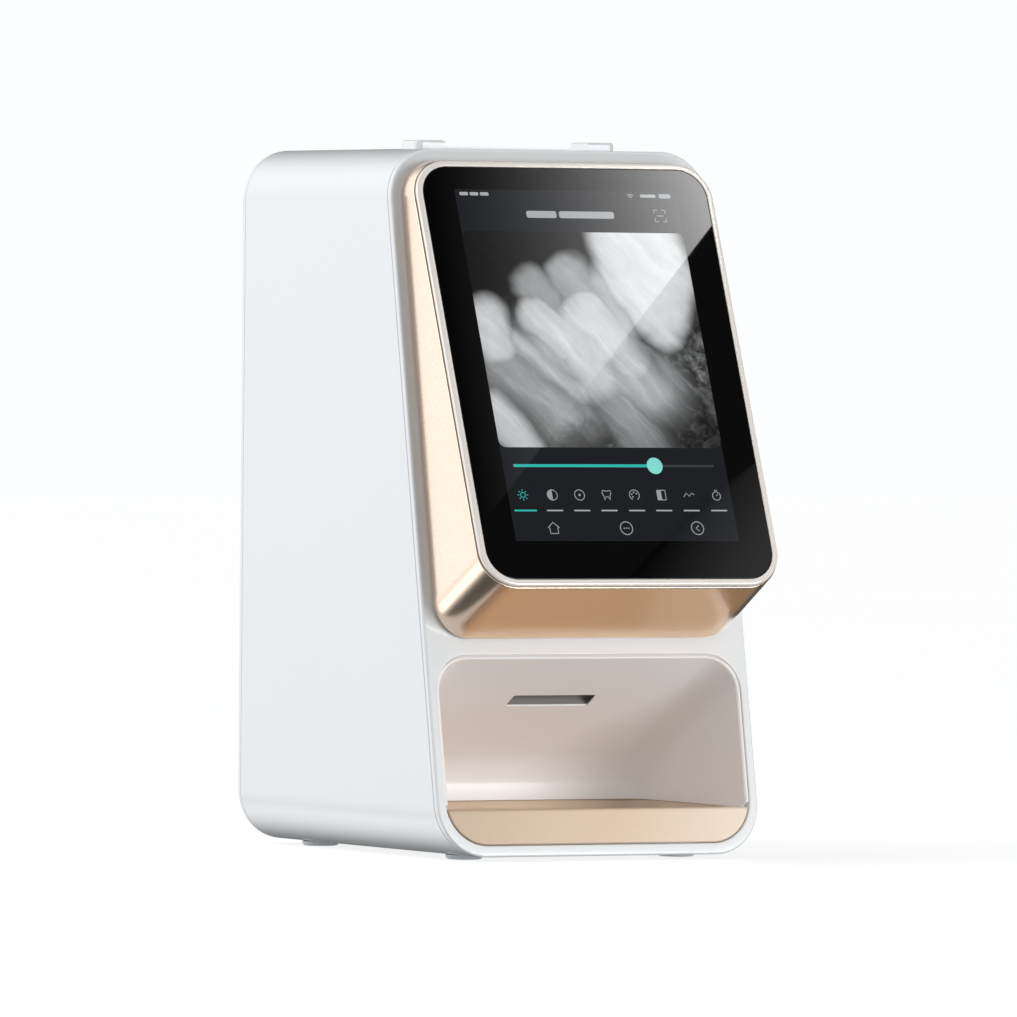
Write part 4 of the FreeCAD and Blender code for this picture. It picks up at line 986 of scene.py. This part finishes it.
def xray():
    made = Shader("xray_picture")
    u, w = picture_place(made)
    along = u * math.cos(LEAN_OF_ROOTS) + w * math.sin(LEAN_OF_ROOTS)
    across = w * math.cos(LEAN_OF_ROOTS) - u * math.sin(LEAN_OF_ROOTS)
    streak_place = made.node("ShaderNodeCombineXYZ", {}, {0: along * 2.6, 1: across * 21, 2: 0.0})[0]
    streaks = made.noise(1.0, 4.0, 0.6, streak_place, 0.6)
    bone_place = made.node("ShaderNodeCombineXYZ", {}, {0: u, 1: w, 2: 0.0})[0]
    bone_mesh = made.noise(21.0, 8.0, 0.7, bone_place, 0.5)
    # the jaw bone fills the lower part and darkens towards its right foot
    lower = w.step(0.22, 0.62)
    foot = (u * 0.6 + w).step(1.1, 1.45)
    bone = 0.03 + bone_mesh.step(0.38, 0.72) * 0.24
    level = (lower * bone * (1 - foot * 0.6) + 0.008) * (0.45 + streaks)
    for tooth in TEETH:
        level = level.math("MAXIMUM", tooth_glow(u, w, streaks, tooth))
    level = level + lower * (streaks.step(0.5, 0.72) * 0.08)
    # a hollow with a ragged edge at the foot
    from_hollow = (u - 0.40) * (u - 0.40) * 1.4 + (w - 0.90) * (w - 0.90) * 2.2
    hollow = 1 - (from_hollow + (bone_mesh - 0.5) * 0.03).step(0.0, 0.03)
    level = level * (1 - hollow * 0.62) * (1 - foot * 0.45)
    level = level * (0.9 + bone_mesh * 0.2)
    grain = made.noise(2200.0, 1.0)
    level = (level * (0.96 + grain * 0.08)).math("MULTIPLY", 1.0, clamp=True)
    return lit_surface(made, made.blend(level, (0.0, 0.0, 0.0, 1), (0.97, 0.985, 1.0, 1)), 0.86)


def draw_picture(mesh):
    film(mesh, rounded(LIT_WIDE / 2, picture_low, picture_high, PICTURE_R, steps=8))


screen_piece("xray_image", draw_picture, xray())

# %% [markdown]
# A slider sets the brightness. Below it stand eight tools, each with its label, and a row of three
# keys; above the picture lie the clock, the title, the signal and the battery. Icons are ribbons of
# even width, drawn about their own centre and then moved to their place.

# %% Slider, icons and bars of text
SLIDER_V, SLIDER_FROM, SLIDER_TO, KNOB_U, KNOB_R = 0.788, 0.046, 0.949, 0.68, 3.75
ICON_V, LABEL_V, KEY_V = 0.871, 0.915, 0.965
ICON_US = (0.066, 0.197, 0.319, 0.441, 0.565, 0.687, 0.811, 0.935)
HOME_U, MORE_U, BACK_U = 0.178, 0.503, 0.823
ICON_R, KEY_R = 2.35, 2.9
LINE, BOLD_LINE = 0.34, 0.4
WORD_GAP = 0.008
LABEL_HALF, LABEL_TALL = 0.036, 0.62
CHOSEN_HALF, CHOSEN_TALL = 0.05, 0.75
# wording: from u, to u, v, height in millimetres, number of bars
BARS = (
    (0.02, 0.15, 0.013, 1.5, 3),
    (0.835, 0.905, 0.013, 1.4, 1),
    (0.305, 0.44, 0.07, 3.2, 1),
    (0.452, 0.70, 0.07, 3.2, 1),
)


def draw_track(mesh, start, end, wide):
    x0, z = lit(start, SLIDER_V)
    x1 = lit(end, SLIDER_V)[0]
    flat = rounded((x1 - x0) / 2, -wide / 2, wide / 2, wide / 2.1, steps=4)
    film(mesh, moved(((x0 + x1) / 2, z), flat))


def draw_knob(mesh):
    film(mesh, disc(*lit(KNOB_U, SLIDER_V), KNOB_R, steps=48), level=2)


def word(mesh, u0, u1, v, tall, count=1):
    """Wording as plain bars, with a gap between them."""
    wide = (u1 - u0 - WORD_GAP * (count - 1)) / count
    for k in range(count):
        middle = lit(u0 + k * (wide + WORD_GAP) + wide / 2, v)
        film(mesh, moved(middle, rounded(wide * LIT_WIDE / 2, -tall / 2, tall / 2, tall * 0.3, steps=5)))


def draw_words(mesh):
    for bar in BARS:
        word(mesh, *bar)
    for u in ICON_US[1:]:
        word(mesh, u - LABEL_HALF, u + LABEL_HALF, LABEL_V, LABEL_TALL)


def draw_chosen_tool(mesh):
    """The brightness tool, a sun with its label, which is the one in use."""
    x, z = lit(ICON_US[0], ICON_V)
    ribbon(mesh, disc(x, z, 1.15, steps=20), LINE, closed=True)
    for k in range(8):
        turn = math.radians(45 * k)
        ray = [(x + r * math.cos(turn), z + r * math.sin(turn)) for r in (1.75, 2.5)]
        ribbon(mesh, ray, LINE)
    word(mesh, ICON_US[0] - CHOSEN_HALF, ICON_US[0] + CHOSEN_HALF, LABEL_V, CHOSEN_TALL)


def icon_at(index, shape):
    return moved(lit(ICON_US[index], ICON_V), shape)


def draw_tools(mesh):
    """Contrast, focus, tooth, palette, inverse, wave and timer."""
    ribbon(mesh, icon_at(1, disc(0, 0, ICON_R)), LINE, closed=True)
    film(mesh, icon_at(1, disc(0, 0, ICON_R, 90, 180, 16)))
    ribbon(mesh, icon_at(2, disc(0, 0, ICON_R)), LINE, closed=True)
    film(mesh, icon_at(2, disc(0, 0, 0.55, steps=12)))
    half_tooth = [(0.6, 1.8), (1.8, 2.1), (2.1, 0.8), (1.5, -0.4), (1.2, -2.3), (0.5, -0.8)]
    tooth = half_tooth + [(-x, z) for x, z in reversed(half_tooth)]
    ribbon(mesh, icon_at(3, tooth), LINE, closed=True)
    ribbon(mesh, icon_at(4, disc(0, 0, ICON_R, -60, 300, 28)), LINE)
    for turn in (30, 95, 160, 225):
        spot = math.radians(turn)
        film(mesh, icon_at(4, disc(1.25 * math.cos(spot), 1.25 * math.sin(spot), 0.36, steps=10)))
    ribbon(mesh, icon_at(5, rounded(2.0, -2.2, 2.2, 0.3, steps=2)), LINE, closed=True)
    film(mesh, icon_at(5, [(-2.0, -2.2), (0, -2.2), (0, 2.2), (-2.0, 2.2)]))
    wave = [(-2.6, -0.9), (-1.3, 0.9), (0.2, -0.5), (1.4, 0.9), (2.6, 0.1)]
    ribbon(mesh, icon_at(6, wave), LINE)
    ribbon(mesh, icon_at(7, disc(0, -0.4, 1.9)), LINE, closed=True)
    ribbon(mesh, icon_at(7, [(-0.7, 2.2), (0.7, 2.2)]), LINE)
    ribbon(mesh, icon_at(7, [(0, -0.4), (0.8, 0.5)]), LINE)


def draw_keys(mesh):
    """Home, more and back."""
    home, more, back = (lit(u, KEY_V) for u in (HOME_U, MORE_U, BACK_U))
    house = [(-1.9, -2.4), (-1.9, 0.2), (-2.7, 0.2), (0, 2.7), (2.7, 0.2), (1.9, 0.2), (1.9, -2.4)]
    ribbon(mesh, moved(home, house), BOLD_LINE, closed=True)
    for key in (more, back):
        ribbon(mesh, disc(*key, KEY_R, steps=40), BOLD_LINE, closed=True)
    for step in (-1.1, 0.0, 1.1):
        film(mesh, moved(more, disc(step, 0, 0.32, steps=10)))
    ribbon(mesh, moved(back, [(0.8, 1.3), (-0.8, 0), (0.8, -1.3)]), BOLD_LINE)


def draw_status(mesh):
    """The full-screen mark, the wireless signal and the battery."""
    full = lit(0.91, 0.07)
    for sx in (-1, 1):
        for sz in (-1, 1):
            corner = [(sx * a, sz * b) for a, b in ((1.1, 2.7), (2.7, 2.7), (2.7, 1.1))]
            ribbon(mesh, moved(full, corner), BOLD_LINE)
    ribbon(mesh, moved(full, [(-1.6, 0), (1.6, 0)]), BOLD_LINE)
    for radius in (0.7, 1.35, 2.0):
        ribbon(mesh, moved(lit(0.79, 0.015), disc(0, -1.0, radius, 45, 90, 8)), LINE)
    battery_x, battery_z = lit(0.945, 0.013)
    film(mesh, moved((battery_x, battery_z), rounded(2.7, -1.0, 1.0, 0.35, steps=3)))
    film(mesh, moved((battery_x + 3.0, battery_z), rounded(0.22, -0.45, 0.45, 0.1, steps=2)))


def draw_icons(mesh):
    for draw in (draw_tools, draw_keys, draw_status):
        draw(mesh)


screen_piece("slider_done", draw_track, teal_glow, SLIDER_FROM, KNOB_U, 1.3)
screen_piece("slider_rest", draw_track, track_glow, KNOB_U, SLIDER_TO, 1.0)
screen_piece("slider_knob", draw_knob, knob_glow)
screen_piece("icons_teal", draw_chosen_tool, teal_glow)
screen_piece("icons_grey", draw_icons, icon_glow)
screen_piece("text_bars", draw_words, text_glow)

# %% [markdown]
# ## Parts that repeat
# Feet, screw heads and vent bars come in rows, so one of each is modelled and Geometry Nodes sets it
# on a list of points. The pattern's inputs are the part, its turn and its material. The result is
# baked to one mesh, which is what a mould or a parts list would count as one set.

# %% A Geometry Nodes pattern: one part on many points
def add_node(tree, kind, settings=None, links=None):
    """A geometry node: settings first, then its inputs from sockets or values."""
    made = tree.nodes.new(kind)
    for key, value in (settings or {}).items():
        setattr(made, key, value)
    for key, value in (links or {}).items():
        if isinstance(value, bpy.types.NodeSocket):
            tree.links.new(value, made.inputs[key])
        else:
            made.inputs[key].default_value = value
    return made


def pattern_tree():
    tree = bpy.data.node_groups.new("set_part_on_points", "GeometryNodeTree")
    face = tree.interface
    face.new_socket("Points", in_out="INPUT", socket_type="NodeSocketGeometry")
    part = face.new_socket("Part", in_out="INPUT", socket_type="NodeSocketObject")
    turn = face.new_socket("Turn", in_out="INPUT", socket_type="NodeSocketRotation")
    spread = face.new_socket("Turn spread", in_out="INPUT", socket_type="NodeSocketFloat")
    seed = face.new_socket("Seed", in_out="INPUT", socket_type="NodeSocketInt")
    finish = face.new_socket("Finish", in_out="INPUT", socket_type="NodeSocketMaterial")
    face.new_socket("Mesh", in_out="OUTPUT", socket_type="NodeSocketGeometry")
    given = tree.nodes.new("NodeGroupInput").outputs
    info = add_node(tree, "GeometryNodeObjectInfo", {}, {"Object": given["Part"]})
    angle = add_node(tree, "FunctionNodeRandomValue", {"data_type": "FLOAT"}, {"Seed": given["Seed"]})
    scaled = add_node(
        tree, "ShaderNodeMath", {"operation": "MULTIPLY"}, {0: angle.outputs[1], 1: given["Turn spread"]}
    )
    spin = add_node(
        tree, "FunctionNodeAxisAngleToRotation", {}, {"Axis": (0, 0, 1), "Angle": scaled.outputs[0]}
    )
    both = add_node(
        tree,
        "FunctionNodeRotateRotation",
        {"rotation_space": "LOCAL"},
        {"Rotation": given["Turn"], "Rotate By": spin.outputs[0]},
    )
    placed = add_node(
        tree,
        "GeometryNodeInstanceOnPoints",
        {},
        {"Points": given["Points"], "Instance": info.outputs["Geometry"], "Rotation": both.outputs[0]},
    )
    real = add_node(tree, "GeometryNodeRealizeInstances", {}, {"Geometry": placed.outputs[0]})
    done = add_node(
        tree, "GeometryNodeSetMaterial", {}, {"Geometry": real.outputs[0], "Material": given["Finish"]}
    )
    end = tree.nodes.new("NodeGroupOutput")
    tree.links.new(done.outputs[0], end.inputs[0])
    return tree, part.identifier, turn.identifier, spread.identifier, seed.identifier, finish.identifier


PATTERN = pattern_tree()
print("the pattern tree has", len(PATTERN[0].nodes), "nodes")


def repeat(
    name, part_mesh, points, body, finish, slot, stands_for=(), turn=(0, 0, 0), spread=0.0, seed=1
):
    """Sets a part on points (millimetres) and bakes the set as one piece."""
    bmesh.ops.recalc_face_normals(part_mesh, faces=part_mesh.faces)
    part = add_object("part", mesh_data("part", part_mesh))
    rows = bpy.data.meshes.new("points")
    rows.from_pydata([Vector(p) * MM for p in points], [], [])
    holder = add_object("points", rows)
    modifier = holder.modifiers.new("pattern", "NODES")
    tree, part_id, turn_id, spread_id, seed_id, finish_id = PATTERN
    modifier.node_group = tree
    modifier[part_id] = part
    modifier[turn_id] = turn
    modifier[spread_id] = spread
    modifier[seed_id] = seed
    modifier[finish_id] = finish
    bpy.context.view_layer.update()
    baked = bpy.data.meshes.new_from_object(holder.evaluated_get(bpy.context.evaluated_depsgraph_get()))
    holder.modifiers.remove(modifier)
    for thing in (part, holder):
        bpy.data.objects.remove(thing)
    made = bmesh.new()
    made.from_mesh(baked)
    bpy.data.meshes.remove(baked)
    print(name, "holds", len(points), "parts")
    return finish_piece(name, made, body, stands_for, slot, finish, sharp=32)


def circle(radius, height, steps):
    turns = [2 * math.pi * k / steps for k in range(steps)]
    return [Vector((radius * math.cos(a), radius * math.sin(a), height)) for a in turns]


def turned(profile):
    """A closed part turned about Z from (radius, height) pairs, lowest first."""
    mesh = bmesh.new()
    skin(mesh, [circle(radius, height, 32) for radius, height in profile], caps=(True, True))
    return mesh


# %% [markdown]
# ## Metals and boards
# Bare metal shows how it was cut: fine lines along the tool's path, drawn by noise that is stretched
# one way. A circuit board is lacquer over copper tracks, which lie where two cells of a pattern meet.

# %% Metals and boards for the parts inside and at the back
def machined(name, color, rough, lines=260.0, axis=(1, 1, 9)):
    """Bare metal with fine tool lines."""
    made = Shader(name)
    squeezed = {0: made.place(), 1: axis}
    along = made.node("ShaderNodeVectorMath", {"operation": "MULTIPLY"}, squeezed)[0]
    marks = made.noise(lines, 3.0, 0.6, along)
    tone = made.blend(marks, shade(color, 0.86), shade(color, 1.06))
    polish = rough + (marks - 0.5) * 0.14
    return made.surface(Base_Color=tone, Roughness=polish, Metallic=1.0, Normal=made.bump(marks, 6e-6))


def board(name, color):
    """A circuit board: lacquer over fine copper tracks."""
    made = Shader(name)
    cells = {"Vector": made.place(), "Scale": 420.0}
    edge = made.node("ShaderNodeTexVoronoi", {"feature": "DISTANCE_TO_EDGE"}, cells)[0]
    line = 1 - edge.step(0.03, 0.07)
    tone = made.blend(line * 0.5, color, shade(color, 2.2))
    raised = made.bump(line, 2e-5)
    return made.surface(Base_Color=tone, Roughness=0.35 + line * 0.1, Coat_Weight=0.4, Normal=raised)


steel = machined("ground_steel", (0.62, 0.61, 0.6, 1), 0.24)
aluminium = machined("machined_aluminium", (0.76, 0.77, 0.78, 1), 0.34)
brass = machined("turned_brass", (0.78, 0.57, 0.27, 1), 0.28)
sheet = machined("brushed_sheet", (0.58, 0.58, 0.59, 1), 0.38, 180.0, (8, 1, 1))
port_steel = machined("port_shell", (0.66, 0.66, 0.67, 1), 0.22, 400.0)
circuit = board("board_green", (0.015, 0.12, 0.06, 1))
mid_grey = moulded("mid_grey_plastic", (0.32, 0.32, 0.33, 1), 0.42, drift=0.06, depth_um=5.0)
mirror_metal = machined("mirror_facets", (0.9, 0.9, 0.91, 1), 0.03, 60.0)
foot_finish = moulded("pale_silicone", (0.66, 0.68, 0.70, 1), 0.6, drift=0.06, skin_mm=0.8, depth_um=14.0)
clear = moulded("clear_acrylic", (0.86, 0.92, 0.94, 1), 0.06, drift=0.02, Transmission_Weight=0.85)
print(len(bpy.data.materials), "finishes in all")

# %% [markdown]
# ## Feet and screw heads
# Four soft feet keep the case 2 mm off the bench. At the back, four countersunk screws with a hexagon
# socket hold the cover; each stopped at its own angle when it was driven home.

# %% Build the feet and the cover's screw heads
foot_low, foot_high = box_mm("rubber_feet")
FOOT_R = 8.0
foot_tall = foot_high.z - foot_low.z
# how far the foot's round stands in, and at what height
foot_round = ((1.6, 0.0), (0.9, 0.12), (0.3, 0.45), (0.1, 0.9), (0.0, foot_tall))
foot_profile = [(FOOT_R - inset, height) for inset, height in foot_round]
foot_points = [
    (x, y, foot_low.z)
    for x in (foot_low.x + FOOT_R, foot_high.x - FOOT_R)
    for y in (foot_low.y + FOOT_R, foot_high.y - FOOT_R)
]
repeat("feet", turned(foot_profile), foot_points, "base", foot_finish, "soft_black", ["rubber_feet"])

screw_low, screw_high = box_mm("cover_screws")


def hexagon(reach, height, steps):
    """A hexagon that is reach wide to its corners, with the points of a circle."""
    ring = []
    for point in circle(reach, height, steps):
        turn = math.atan2(point.y, point.x)
        off = (turn + math.pi / 6) % (math.pi / 3) - math.pi / 6
        share = math.cos(math.pi / 6) / math.cos(off)
        ring.append(Vector((point.x * share, point.y * share, height)))
    return ring


def screw_head(radius, tall, socket, deep):
    """A low round head with a hexagon socket; it stands on z = 0."""
    steps = 36
    mesh = bmesh.new()
    sides = ((radius, 0), (radius, tall * 0.55), (radius - 0.15, tall * 0.82), (radius - 0.5, tall))
    rings = [circle(reach, height, steps) for reach, height in sides]
    rings += [circle(socket + 0.35, tall, steps)]
    rings += [hexagon(socket, height, steps) for height in (tall - 0.2, tall - deep)]
    skin(mesh, rings, caps=(True, True))
    return mesh


HEAD_RADIUS, HEAD_TALL = 2.6, 0.9
SOCKET_REACH, SOCKET_DEEP = 1.3, 0.75
screw_points = [
    (x, screw_high.y - HEAD_TALL, z)
    for x in (screw_low.x + HEAD_RADIUS, screw_high.x - HEAD_RADIUS)
    for z in (screw_low.z + HEAD_RADIUS, screw_high.z - HEAD_RADIUS)
]
BACKWARDS = (-math.pi / 2, 0, 0)
repeat(
    "cover_screw_heads",
    screw_head(HEAD_RADIUS, HEAD_TALL, SOCKET_REACH, SOCKET_DEEP),
    screw_points,
    "base",
    steel,
    slot="ground_steel",
    turn=BACKWARDS,
    spread=math.pi,
    seed=4,
)

# %% [markdown]
# ## Everything else keeps its CAD shape
# Lenses, boards, motors and sockets are already modelled as they are made. They only need smooth
# curves, crisp edges and a real finish. A small node tree welds the tessellated mesh and marks the
# edges that are sharper than 35 degrees.

# %% Smooth the CAD meshes and give every slot its finish
def smooth_tree():
    tree = bpy.data.node_groups.new("weld_and_smooth", "GeometryNodeTree")
    tree.interface.new_socket("Mesh", in_out="INPUT", socket_type="NodeSocketGeometry")
    weld = tree.interface.new_socket("Weld", in_out="INPUT", socket_type="NodeSocketFloat")
    sharp = tree.interface.new_socket("Sharp above", in_out="INPUT", socket_type="NodeSocketFloat")
    tree.interface.new_socket("Mesh", in_out="OUTPUT", socket_type="NodeSocketGeometry")
    given = tree.nodes.new("NodeGroupInput").outputs
    merged = add_node(
        tree, "GeometryNodeMergeByDistance", {}, {"Geometry": given["Mesh"], "Distance": given["Weld"]}
    )
    angle = add_node(tree, "GeometryNodeInputMeshEdgeAngle")
    limit = {0: angle.outputs[0], 1: given["Sharp above"]}
    soft = add_node(tree, "FunctionNodeCompare", {"operation": "LESS_THAN"}, limit)
    faces = add_node(
        tree,
        "GeometryNodeSetShadeSmooth",
        {"domain": "FACE"},
        {"Geometry": merged.outputs[0], "Shade Smooth": True},
    )
    edges = add_node(
        tree,
        "GeometryNodeSetShadeSmooth",
        {"domain": "EDGE"},
        {"Geometry": faces.outputs[0], "Shade Smooth": soft.outputs[0]},
    )
    end = tree.nodes.new("NodeGroupOutput")
    tree.links.new(edges.outputs[0], end.inputs[0])
    return tree, weld.identifier, sharp.identifier


SMOOTH, WELD_ID, SHARP_ID = smooth_tree()
WELD = 1e-6
SHARP_EDGE = math.radians(35)
FINISHES = {
    white_shell: ["inlet_guide", "rear_cover"],
    mid_grey: ["inlet_flap", "erase_lamp"],
    rubber: ["display_gasket"],
    sheet: ["display_bracket", "chassis_plate"],
    circuit: ["display_board", "main_board"],
    aluminium: ["lower_block", "upper_block", "scan_motor", "heat_sink"],
    steel: [
        "cover_screws",
        "flap_pin",
        "guide_rods",
        "block_screws",
        "lead_screw",
        "carriage_magnet",
        "board_screws",
    ],
    brass: ["carriage_bushes", "lead_nut", "laser_diode", "board_standoffs"],
    black_plastic: [
        "stepper_motor",
        "plate_carriage",
        "limit_sensors",
        "optics_housing",
        "optics_cover",
        "photomultiplier",
        "board_chips",
        "fan_frame",
        "fan_rotor",
    ],
    mirror_metal: ["polygon_mirror"],
    clear: ["scan_lens", "light_guide"],
    port_steel: ["wireless_module", "usb_port", "lan_port"],
    gloss_black: ["power_inlet", "switch_frame", "rocker_switch", "lcd_panel"],
}
dressed = set()
for finish, names in FINISHES.items():
    for name in names:
        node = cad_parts[name]
        for place in range(len(node.data.materials)):
            node.data.materials[place] = finish
        if not node.data.materials:
            node.data.materials.append(finish)
        modifier = node.modifiers.new("weld_and_smooth", "NODES")
        modifier.node_group = SMOOTH
        modifier[WELD_ID] = WELD
        modifier[SHARP_ID] = SHARP_EDGE
        node.modifiers.new("weighted_normals", "WEIGHTED_NORMAL").keep_sharp = True
        dressed.add(name)
left_bare = [n for n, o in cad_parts.items() if n not in dressed and not o.hide_render]
print("dressed", len(dressed), "nodes; left bare:", left_bare)

# %% [markdown]
# ## Studio
# A pale floor and a white surround. The left of the studio is bright and the right is dim, which
# gives the gold its light side and its dark end; a softbox stands close to the screen on the right,
# and the glass mirrors a part of it as a pale wedge with one straight slanting edge.

# %% The world: white behind, and a soft uneven room for light and reflections
class Room(Shader):
    """The same sums, in the world's tree."""

    def __init__(self, name):
        world = bpy.data.worlds.new(name)
        bpy.context.scene.world = world
        world.use_nodes = True
        self.nodes = world.node_tree.nodes
        self.links = world.node_tree.links
        self.nodes.clear()


room = Room("studio")
toward = room.node("ShaderNodeTexCoord")[0]
east, north, above = room.node("ShaderNodeSeparateXYZ", {}, {0: toward})
path = room.node("ShaderNodeLightPath")
is_seen, is_shine = path[0], path[3]
west = 1 - east.step(-0.35, 0.30)
behind = north.step(-0.55, 0.35)
front_right = (1 - north.step(-0.6, 0.1)) * east.step(-0.1, 0.5)
ground = 1 - above.step(-0.42, -0.05)
low_strip = above.step(-0.60, -0.48) * (1 - above.step(-0.36, -0.2))
# what polished faces mirror: dim on the right, with a bright strip low on the left
shine = 0.05 + west * (0.30 + behind * 1.05) + (1 - west) * behind * 0.07
shine = shine * (1 - ground * 0.45) + low_strip * west * 1.1
shine = shine * (0.12 + above.step(-0.68, -0.5) * 0.88)
# what lights the surfaces softly
glow = 0.30 + west * behind * 0.96 + front_right * 0.4 + above.step(0.2, 0.9) * 0.1
glow = glow * (1 - ground * 0.35)
unseen = glow + is_shine * (shine - glow)
strength = unseen + is_seen * (1 - unseen)
background = room.node("ShaderNodeBackground", {}, {"Color": (0.972, 0.985, 1.0, 1), "Strength": strength})[0]
output = room.nodes.new("ShaderNodeOutputWorld")
room.links.new(background.socket, output.inputs[0])
print("the room's tree has", len(room.nodes), "nodes")


# %% [markdown]
# The floor is a pale sheet just under the feet, which fades into the white. It glows a little, so
# that only a faint shadow shows on it, and from below it isn't there, so the underside can be seen.

# %% The floor
def stage_plate(name, corners, material, mirrored_too=False, places=()):
    """One flat stage face; places, where given, are its corners' places on the finish."""
    mesh = bmesh.new()
    face = mesh.faces.new([mesh.verts.new(corner) for corner in corners])
    if places:
        uv_layer = mesh.loops.layers.uv.new("place")
        for loop, place in zip(face.loops, places):
            loop[uv_layer].uv = place
    data = mesh_data(name, mesh)
    data.materials.append(material)
    plate = add_object(name, data)
    plate.visible_diffuse = False
    plate.visible_glossy = mirrored_too
    print(name, "starts at", [round(v, 2) for v in data.vertices[0].co])


def floor_finish():
    made = Shader("pale_floor")
    tone = made.blend(made.noise(3.0, 3.0), grey(0.38), grey(0.40))
    above_only = 1 - made.node("ShaderNodeNewGeometry")[6]
    return made.surface(
        Base_Color=tone, Roughness=0.6, Emission_Color=grey(1.0), Emission_Strength=0.74, Alpha=above_only
    )


REACH = 9.0
floor_z = cad_low.z - 0.05 * MM
floor_corners = [(x * REACH, y * REACH, floor_z) for x, y in ((-1, -1), (1, -1), (1, 1), (-1, 1))]
stage_plate("floor", floor_corners, floor_finish())


# %% [markdown]
# Three softboxes light the machine: a small one on the left for the gold, a wide one at the front
# right for the face and the bay, and a low strip that fills the underside of the head.

# %% Softboxes
def softbox(name, away, toward, size, power, color=(1, 1, 1)):
    data = bpy.data.lights.new(name, "AREA")
    data.shape = "RECTANGLE"
    data.size, data.size_y = size
    data.energy = power
    data.color = color
    lamp = add_object(name, data)
    lamp.location = away
    lamp.rotation_euler = (Vector(toward) - Vector(away)).to_track_quat("-Z", "Y").to_euler()
    print(name, "shines with", power, "W")


softbox("left_soft", (-0.95, 0.1, 0.75), (0, 0, 0.2), (0.7, 0.7), 2.7)
softbox("front_right", (0.98, -2.1, 0.24), (0, -0.08, 0.1), (1.1, 0.7), 21, (0.95, 0.98, 1.0))
softbox("low_fill", (0.2, -0.7, 0.03), (0, -0.09, 0.13), (0.5, 0.06), 0.9, (1.0, 0.95, 0.9))


# %% [markdown]
# The glass mirrors two cloths of their own. Each is planned by where its corners should show on the
# glass; a ray from the camera to that place, bounced off the glass, leads to where the corner hangs.

# %% The screen's softbox
def bounced(spot):
    """The direction in which a ray from the camera leaves the glass at this spot."""
    ray = (spot - camera.location).normalized()
    return ray - 2 * ray.dot(SCREEN_IN) * SCREEN_IN


def mirrored(x, up, distance):
    """Where the camera sees, in the glass, a wall that hangs at this distance."""
    spot = on_screen([(x, up)], GLASS_FRONT)[0] * MM
    centre = on_screen([(0, HEAD_LENGTH / 2)], 0)[0] * MM
    outward = bounced(centre)
    share = (outward * distance - (spot - centre)).dot(outward) / bounced(spot).dot(outward)
    return spot + bounced(spot) * share


def wedge_finish():
    """A softbox that fades across its width."""
    made = Shader("softbox_cloth")
    across, along, _ = made.node("ShaderNodeSeparateXYZ", {}, {0: made.node("ShaderNodeTexCoord")[2]})
    fade = across.math("POWER", 2.8) * (0.3 + 0.7 * along)
    fade = fade + (1 - along) * (across.step(0.02, 0.35) * 0.035)
    tone = made.blend(fade.math("MULTIPLY", 1.0, clamp=True), grey(0.0), grey(1.0))
    return made.surface(Base_Color=grey(0.0), Roughness=1.0, Emission_Color=tone, Emission_Strength=12.5)


# glass points (x, up) that bound each cloth, and the brightness place (across, along) of each
WEDGES = {
    "screen_softbox": [
        ((-78, 205), (0, 1)),
        ((78, 205), (1, 1)),
        ((78, 176), (1, 0.84)),
        ((-78, 19), (0, 0)),
    ],
    "foot_softbox": [
        ((-20, -10), (0, 0)),
        ((78, -10), (0.5, 0)),
        ((78, 62), (0.22, 0)),
        ((40, 40), (0, 0)),
    ],
}
WALL_AWAY = 0.8
cloth = wedge_finish()
for name, bounds in WEDGES.items():
    corners = [mirrored(x, up, WALL_AWAY) for (x, up), _ in bounds]
    stage_plate(name, corners, cloth, mirrored_too=True, places=[place for _, place in bounds])
